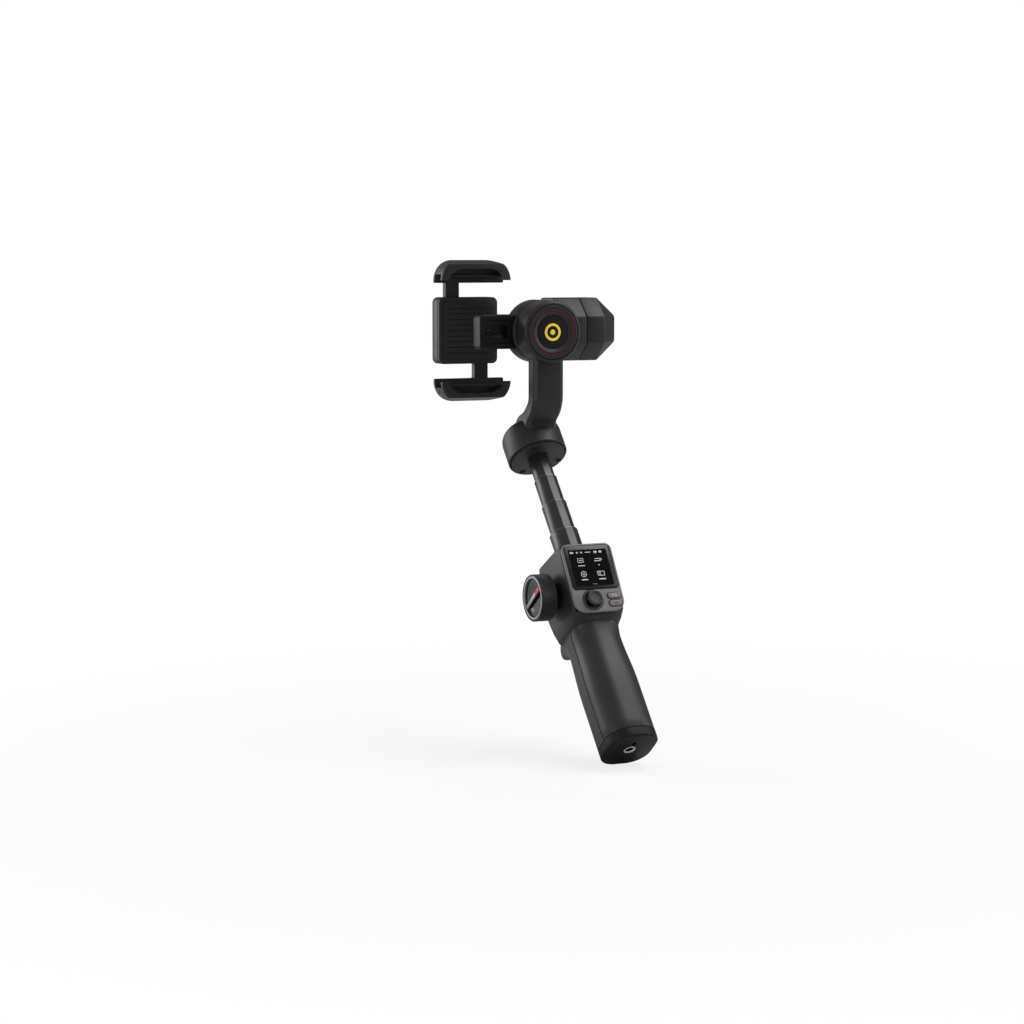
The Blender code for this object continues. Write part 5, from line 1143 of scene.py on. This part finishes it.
class GIMBAL_OT_roll_tilt_arm(bpy.types.Operator):
    """Model the drum, the bridge and the faceted housing as one moulding, and the drum's rear cover"""
    bl_idname = "gimbal.roll_tilt_arm"
    bl_label = "Roll and tilt arm"

    def execute(self, context):
        arm = sizes("arm")
        place, side, body = roll_place(), tilt_axis(), "roll_tilt_arm"
        wide, near, left, seam = drum_radius(), cup_back(), arm.tilt_left, arm.tilt_seam
        far, front = near + arm.drum_depth, arm.tilt_setback - arm.apothem
        root, height, start, end = wide - 0.002, 0.4 * arm.apothem, left + 0.001, seam - 0.0058
        bridge = [(0.004, near + 0.005), (root, near + 0.003), (end, front + 0.001), (end, front + 0.014),
                  (start, front + 0.014), (start, front - 0.002), (root - 0.003, far - 0.003)]
        drum = turned(0, wide, near, far, 0.0016, 0.0020, 128)
        housing = slab(octagon(arm.apothem, 0.0010), left, seam, 0.0006, 4)
        ring = turned(RING_BORE, 0.0191, near + 0.0015, 0.0092)
        shape = plus(placed(drum, ALONG_Y), slab(bridge, -height, height, 0.0008), placed(housing, TO_X),
                     placed(ring, ALONG_Y))
        boss, bore, floor, mouth = 0.007, arm.apothem - 0.0031, left + 0.0045, seam + PAST
        stop = floor + 0.009
        room = spun([(boss, floor), (bore, floor), (bore, mouth), (0, mouth), (0, stop), (boss, stop)])
        cover = turned(0, RING_BORE, far + PAST, far - 0.0021)
        shape = less(shape, placed(room, side), placed(pin(BEARING_BORE, floor, seam), side),
                     placed(pin(SHAFT_BORE, left - PAST, seam), side),
                     placed(pin(SHAFT_BORE, 0, near + 0.0033), ALONG_Y), placed(cover, ALONG_Y))
        finish_piece("drum_bridge_housing", shape, place, "charcoal", body, "roll_tilt_arm", 30)
        plate = turned(0, 0.017, far, far - 0.0018, 0.0007)
        finish_piece("drum_back_cover", plate, place @ ALONG_Y, "black", body, "drum_rear_cover")
        return {"FINISHED"}


class GIMBAL_OT_tilt_cap(bpy.types.Operator):
    """Model the faceted end cap of the tilt housing"""
    bl_idname = "gimbal.tilt_cap"
    bl_label = "Tilt end cap"

    def execute(self, context):
        arm = sizes("arm")
        near, shoulder, middle = arm.tilt_seam + CLEAR, arm.tilt_seam + arm.barrel, arm.tilt_setback
        far, half, large = shoulder + arm.taper, arm.end_half, octagon(arm.apothem)
        small = half - 0.0018
        end = [(half, small), (small, half), (-small, half), (-half, small),
               (-half, -small), (-small, -half), (small, -half), (half, -small)]
        cap = lofted([(large, near), (large, shoulder), ([(middle + a, b) for a, b in end], far)])
        soften(cap, sharp_edges(cap, 20), 0.0007)
        finish_piece("tilt_facet_cap", placed(cap, TO_X), roll_place(), "charcoal", "roll_tilt_arm",
                     "tilt_end_cap", 25)
        return {"FINISHED"}


class GIMBAL_OT_module(bpy.types.Operator):
    """Model the sensor module with its grooves, its lens and its window"""
    bl_idname = "gimbal.module"
    bl_label = "Sensor module"

    def execute(self, context):
        arm = sizes("arm")
        place, eye, body = roll_place(), shift(-arm.lens_x, 0, 0) @ ALONG_Y, "roll_tilt_arm"
        reach, half, front = arm.module_reach, arm.module_half, cup_back() + 0.0025
        sunk, back = front + 0.0015, front + 0.0012
        outline = [(-reach, -half, 0.0028), (0, -half), (0, half), (-reach, half, 0.0028)]
        shape = placed(slab(outline, front, front + arm.module_depth, 0.0009), TO_Y)
        edge = pin(drum_radius() + CLEAR, front - 0.01, front + 0.03, 128)
        lines = [cuboid((0.003 - reach, front - 0.002, z - 0.0004), (-0.019, front + 0.0005, z + 0.0004))
                 for z in (-0.0082, 0.0082)]
        window = cuboid((-0.0367, front - PAST, -0.0045), (-0.0263, sunk, 0.0045))
        shape = less(shape, placed(edge, ALONG_Y), gathered(lines), window,
                     placed(pin(0.0024, front - PAST, sunk), eye))
        finish_piece("module_body", shape, place, "black", body, "sensor_module")
        lens = spun([(0, front + 0.0003), (0.0012, front + 0.0002, 0.0004), (0.0021, front, 0.0002),
                     (0.0021, back), (0, back)])
        finish_piece("module_eye", lens, place @ eye, "glass", body, "module_lens")
        pane = cuboid((-0.0364, front + CLEAR, -0.0042), (-0.0266, back, 0.0042), 0.0002)
        finish_piece("module_pane", pane, place, "glass", body, "module_window")
        return {"FINISHED"}


def base_front():
    """Front of the clamp base, behind its pad and its plate."""
    return sizes("clamp").phone_back + 3 * CLEAR + PAD + PLATE


class GIMBAL_OT_clamp(bpy.types.Operator):
    """Model the clamp's bar, base, plate and pad"""
    bl_idname = "gimbal.clamp"
    bl_label = "Clamp"

    def execute(self, context):
        clamp, arm = sizes("clamp", "arm")
        place, side, body = roll_place(), tilt_axis(), "clamp"
        middle, half, high, front = clamp.middle, clamp.base_half, clamp.base_high, base_front()
        hub, start = arm.tilt_left - CLEAR, clamp.phone_back + 2 * CLEAR + PAD
        bar = cuboid((middle + half + CLEAR, start, -0.009), (hub - 0.0007, start + 0.0105, 0.009), 0.0014)
        disc = turned(0, 0.013, hub, hub - 0.002, 0.0003, 0.0005)
        bar = less(plus(bar, placed(disc, side)), placed(pin(SHAFT_BORE, hub - 0.0013, hub + PAST), side))
        finish_piece("clamp_bar", bar, place, "charcoal", body, "clamp_arm")

        outline = oblong(middle - half, middle + half, -high, high, 0.004)
        base = placed(slab(outline, front, front + 0.0105, 0.0009), TO_Y)
        depth, open_front, post = front + 0.0062, front - PAST, 0.0018
        for sign in (-1, 1):
            left, right = sorted((middle + sign * 0.0039, middle + sign * 0.0169))
            low, top = sorted((sign * (high - 0.001), -sign * (high + PAST)))
            base = less(base, cuboid((left, open_front, low), (right, depth, top)))
        spot = shift(middle, 0, 0) @ ALONG_Y
        base = less(base, placed(turned(post, 0.0064, open_front, depth), spot),
                    placed(pin(2 * post, open_front, front + CLEAR), spot))
        finish_piece("clamp_back", base, place, "charcoal", body, "clamp_base")
        plate = slab(outline, front - CLEAR - PLATE, front - CLEAR, 0.0005)
        finish_piece("clamp_plate", placed(plate, TO_Y), place, "charcoal", body, "clamp_front_plate")
        near, wide, tall = clamp.phone_back + CLEAR, half - 0.003, high - 0.003
        sheet = slab(oblong(middle - wide, middle + wide, -tall, tall, 0.003), near, near + PAD, 0.0003)
        left, right = middle - half + 0.006, middle + half - 0.006
        ribs = [cuboid((left, near - 0.001, z - 0.0004), (right, near + 0.0004, z + 0.0004))
                for z in (-0.016, -0.012, -0.008, -0.004, 0, 0.004, 0.008, 0.012, 0.016)]
        pad = less(placed(sheet, TO_Y), gathered(ribs))
        finish_piece("clamp_pad", pad, place, "rubber", body, "clamp_front_pad")
        return {"FINISHED"}


class GIMBAL_OT_jaws(bpy.types.Operator):
    """Model both jaws with their racks, and their pads"""
    bl_idname = "gimbal.jaws"
    bl_label = "Jaws"

    def execute(self, context):
        for side, sign in (("upper", 1), ("lower", -1)):
            self.jaw(sizes("clamp"), side, sign)
        return {"FINISHED"}

    def jaw(self, clamp, side, sign):
        """A hoop in front and a wall behind, with the rack's stem and the pad; sign -1 turns it over."""
        place, body = roll_place(), side + "_jaw"
        middle, half, flat, edge = clamp.middle, clamp.jaw_half, clamp.jaw_top, clamp.phone_half
        top, low, knee = edge + clamp.jaw_height, edge - 0.0042, edge + 0.35 * clamp.jaw_height
        lip_back, wall_front = clamp.phone_back - clamp.channel, clamp.phone_back + CLEAR
        lip_front, wall_back = lip_back - clamp.jaw_lip, wall_front + clamp.jaw_back
        open_front, open_back, open_low, wide = lip_front - PAST, lip_back + PAST, low - PAST, half + PAST

        def outline(corners):
            return [(middle + x, sign * z, corner) for x, z, corner in corners]

        def box(across, along, up):
            bottom, roof = sorted((sign * up[0], sign * up[1]))
            return cuboid((middle + across[0], along[0], bottom), (middle + across[1], along[1], roof))

        rim = outline([(-half, low, 0.001), (-half, knee, 0.006), (-flat, top, 0.005), (flat, top, 0.005),
                       (half, knee, 0.006), (half, low, 0.001)])
        jaw = placed(slab(rim, lip_front, wall_back, 0.0008), TO_Y)
        fall, over = top - 0.0030, top + PAST
        slope = [(y, sign * z) for y, z in ((open_front, fall), (lip_front, fall), (wall_front, top),
                                            (wall_front, over), (open_front, over))]
        channel = box((-wide, wide), (lip_back, wall_front), (open_low, edge + 0.0021))
        feet = box((-wide, wide), (open_front, open_back), (open_low, edge - 0.0022))
        inside, band = half - 0.0085, top - clamp.jaw_band
        foot, crown = inside + 0.003, inside - 0.004
        arch = outline([(-foot, open_low, 0), (-foot, edge, 0.003), (-crown, band, 0.004), (crown, band, 0.004),
                        (foot, edge, 0.003), (foot, open_low, 0)])
        jaw = less(jaw, placed(slab(slope, middle - wide, middle + wide), TO_X), channel, feet,
                   placed(slab(arch, open_front, open_back), TO_Y))
        near = base_front() + CLEAR
        back = near + 0.0052
        stem = placed(slab(self.rack(clamp, sign), near, back), TO_Y)
        root = box(sorted((-sign * 0.0051, -sign * 0.0176)), (wall_front + clamp.jaw_back / 2, back),
                   (low + 0.0002, edge + clamp.jaw_height / 2))
        finish_piece(side + "_hoop_jaw", plus(jaw, plus(stem, root)), place, "charcoal", body, side + "_jaw")

        pad = box((0.004 - half, half - 0.004), (lip_back + CLEAR, wall_front - CLEAR), (edge, edge + 0.0018))
        soften(pad, pad.edges[:], 0.0004)
        ribs = [box((x - 0.0004, x + 0.0004), (lip_back, wall_front), (edge - 0.002, edge + 0.0004))
                for x in (-0.019, -0.015, -0.011, -0.007, -0.003, 0.003, 0.007, 0.011, 0.015, 0.019)]
        finish_piece(side + "_grip_pad", less(pad, gathered(ribs)), place, "rubber", body, side + "_pad")

    def rack(self, clamp, sign):
        """Outline of a stem whose teeth face the pinion."""
        slope, module, pitch, rise, sink = math.tan(math.radians(20)), 0.001, 0.005, 0.0008, 0.0011
        half = (math.pi * module / 2 - 0.00022) / 2
        root, tip = pitch + sink, pitch - rise
        tip_half, root_half = half - rise * slope, half + sink * slope
        tail, top = clamp.base_high - 0.0113, clamp.phone_half + clamp.jaw_height / 2
        points = [(root, -tail)]
        for tooth in range(-3, 5):
            at = tooth * math.pi * module
            points += [(root, at - root_half), (tip, at - tip_half), (tip, at + tip_half),
                       (root, at + root_half)]
        points += [(root, top), (root + 0.0105, top), (root + 0.0105, -tail)]
        return [(clamp.middle - sign * x, sign * z) for x, z in points]


class GIMBAL_OT_inner_parts(bpy.types.Operator):
    """Give the parts that keep their CAD shape their finishes"""
    bl_idname = "gimbal.inner_parts"
    bl_label = "Inner parts"

    def execute(self, context):
        finishes = {
            "cell": ["battery_cell"], "board": ["main_board"], "brass": ["clamp_pinion"],
            # Painted shade: the joystick's base and yoke take the black finish, not steel, so the recess round
            # the cap reads dark
            "black": ["joystick_base", "joystick_yoke"],
            "steel": ["charge_port", "trigger_pin", "pan_bearing", "roll_bearing", "tilt_bearing",
                      "pan_shaft", "roll_shaft", "tilt_rotor", "clamp_spring"],
            "copper": ["pan_stator", "roll_stator", "tilt_stator"],
            "magnet": ["pan_magnet_ring", "roll_magnet_ring", "tilt_magnet_ring"],
        }
        for key, names in finishes.items():
            for name in names:
                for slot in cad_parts[name].material_slots:
                    slot.link = "OBJECT"
                    slot.material = MATERIALS[key]
        return {"FINISHED"}


def aim_at(obj, place, target):
    """Stand a lamp or a camera at a place and turn it to a target."""
    obj.location = place
    obj.rotation_euler = (Vector(target) - Vector(place)).to_track_quat("-Z", "Y").to_euler()


LAMPS = (  # name, place, power in watts, width, height
    ("left_softbox", (-0.80, 1.08, 0.42), 8.5, 0.5, 0.9),
    ("low_softbox", (-1.15, -0.45, 0.20), 3.0, 0.5, 0.28),
    ("right_softbox", (1.20, -0.50, 0.60), 8.0, 0.6, 1.0),
    ("top_softbox", (0.66, -0.16, 1.45), 17.0, 0.9, 0.7),
)


class GIMBAL_OT_stage(bpy.types.Operator):
    """Set the floor, the soft studio light, the background and the camera"""
    bl_idname = "gimbal.stage"
    bl_label = "Stage"

    def execute(self, context):
        settings, scene = sizes("stage"), context.scene
        self.floor(settings.floor)
        self.world(scene)
        for name, place, power, wide, high in LAMPS:
            data = bpy.data.lights.new(name, "AREA")
            data.shape = "RECTANGLE"
            data.size, data.size_y, data.energy = wide, high, power
            aim_at(add_object(name, data), place, (0, 0.08, 0.19))
        data = bpy.data.cameras.new("photo_camera")
        data.lens = settings.lens
        scene.camera = add_object("photo_camera", data)
        aim_at(scene.camera, settings.eye, settings.aim)
        scene.view_settings.view_transform = "Standard"
        return {"FINISHED"}

    def floor(self, colour):
        """A wide floor that the camera sees fade to white away from the object."""
        bm = bmesh.new()
        bmesh.ops.create_grid(bm, x_segments=1, y_segments=1, size=6.0, matrix=shift(0, 0, CAD_LOW[2] - 0.0005))
        floor = add_object("floor", to_mesh(bm, "floor"))
        material = bpy.data.materials.new("pale_floor")
        material.use_nodes = True
        tree = material.node_tree
        tree.nodes.clear()
        output = add_node(tree, "ShaderNodeOutputMaterial")
        matt = add_node(tree, "ShaderNodeBsdfDiffuse", Color=(*colour, 1))
        glow = add_node(tree, "ShaderNodeEmission", Color=(1, 1, 1, 1), Strength=1.0)
        where = add_node(tree, "ShaderNodeTexCoord")
        away = add_node(tree, "ShaderNodeVectorMath", operation="LENGTH")
        white = add_node(tree, "ShaderNodeMapRange", From_Min=0.10, From_Max=0.60, To_Min=0.80, To_Max=1.0)
        path = add_node(tree, "ShaderNodeLightPath")
        share = add_node(tree, "ShaderNodeMath", operation="MULTIPLY")
        mix = add_node(tree, "ShaderNodeMixShader")
        wire(tree, (where, "Object", away, 0), (away, "Value", white, "Value"), (white, "Result", share, 1),
             (path, "Is Camera Ray", share, 0), (share, 0, mix, 0), (matt, 0, mix, 1), (glow, 0, mix, 2),
             (mix, 0, output, "Surface"))
        floor.data.materials.append(material)

    def world(self, scene):
        """White to the camera, brighter on the left to glossy rays, and a dim fill to the rest."""
        scene.world = bpy.data.worlds.new("studio")
        scene.world.use_nodes = True
        tree = scene.world.node_tree
        tree.nodes.clear()
        output = add_node(tree, "ShaderNodeOutputWorld")
        white = add_node(tree, "ShaderNodeBackground", Color=(1, 1, 1, 1), Strength=1.0)
        fill = add_node(tree, "ShaderNodeBackground", Color=(1, 1, 1, 1), Strength=0.20)
        mix = add_node(tree, "ShaderNodeMixShader")
        where = add_node(tree, "ShaderNodeTexCoord")
        side = add_node(tree, "ShaderNodeVectorMath", operation="DOT_PRODUCT")
        side.inputs[1].default_value = (-1.0, 0.05, 0)
        fade = add_node(tree, "ShaderNodeMapRange", From_Min=-0.5, From_Max=0.5, To_Min=0.12, To_Max=0.70)
        path = add_node(tree, "ShaderNodeLightPath")
        bright, both, every = [add_node(tree, "ShaderNodeMath", operation="MAXIMUM") for _ in range(3)]
        wire(tree, (where, "Generated", side, 0), (side, "Value", fade, "Value"), (fade, "Result", bright, 0),
             (path, "Is Camera Ray", bright, 1), (bright, 0, white, "Strength"),
             (path, "Is Camera Ray", both, 0), (path, "Is Glossy Ray", both, 1), (both, 0, every, 0),
             (path, "Is Transmission Ray", every, 1), (every, 0, mix, 0), (fill, 0, mix, 1), (white, 0, mix, 2),
             (mix, 0, output, "Surface"))


class GIMBAL_PT_parts(bpy.types.Panel):
    """Sizes of the gimbal and the operators that model it"""
    bl_idname = "GIMBAL_PT_parts"
    bl_label = "Phone gimbal"
    bl_space_type = "VIEW_3D"
    bl_region_type = "UI"
    bl_category = "Gimbal"

    def draw(self, context):
        for kind in OPERATORS:
            self.layout.operator(kind.bl_idname)
        for name in GROUPS:
            group = getattr(context.scene, name)
            box = self.layout.box()
            box.label(text=type(group).__name__)
            for key in type(group).__annotations__:
                box.prop(group, key)


GROUPS = {"gimbal_handle": HandleSizes, "gimbal_controls": ControlSizes, "gimbal_rod": RodSizes,
          "gimbal_arm": ArmSizes, "gimbal_clamp": ClampSizes, "gimbal_finishes": Finishes,
          "gimbal_stage": StageSettings}
OPERATORS = (GIMBAL_OT_handle, GIMBAL_OT_panel, GIMBAL_OT_joystick, GIMBAL_OT_buttons, GIMBAL_OT_trigger,
             GIMBAL_OT_focus_wheel, GIMBAL_OT_rod, GIMBAL_OT_pan_disc, GIMBAL_OT_swing_arm, GIMBAL_OT_roll_cap,
             GIMBAL_OT_roll_tilt_arm, GIMBAL_OT_tilt_cap, GIMBAL_OT_module, GIMBAL_OT_clamp, GIMBAL_OT_jaws,
             GIMBAL_OT_inner_parts, GIMBAL_OT_stage)
CLASSES = (*GROUPS.values(), *OPERATORS, GIMBAL_PT_parts)


def register():
    for kind in CLASSES:
        bpy.utils.register_class(kind)
    for name, kind in GROUPS.items():
        setattr(bpy.types.Scene, name, PointerProperty(type=kind))


def unregister():
    for name in GROUPS:
        delattr(bpy.types.Scene, name)
    for kind in reversed(CLASSES):
        bpy.utils.unregister_class(kind)


def main():
    register()
    make_materials()
    bpy.ops.gimbal.handle()
    bpy.ops.gimbal.panel()
    bpy.ops.gimbal.joystick()
    bpy.ops.gimbal.buttons()
    bpy.ops.gimbal.trigger()
    bpy.ops.gimbal.focus_wheel()
    bpy.ops.gimbal.rod()
    bpy.ops.gimbal.pan_disc()
    bpy.ops.gimbal.swing_arm()
    bpy.ops.gimbal.roll_cap()
    bpy.ops.gimbal.roll_tilt_arm()
    bpy.ops.gimbal.tilt_cap()
    bpy.ops.gimbal.module()
    bpy.ops.gimbal.clamp()
    bpy.ops.gimbal.jaws()
    bpy.ops.gimbal.inner_parts()
    bpy.ops.gimbal.stage()


if __name__ == "__main__":
    main()
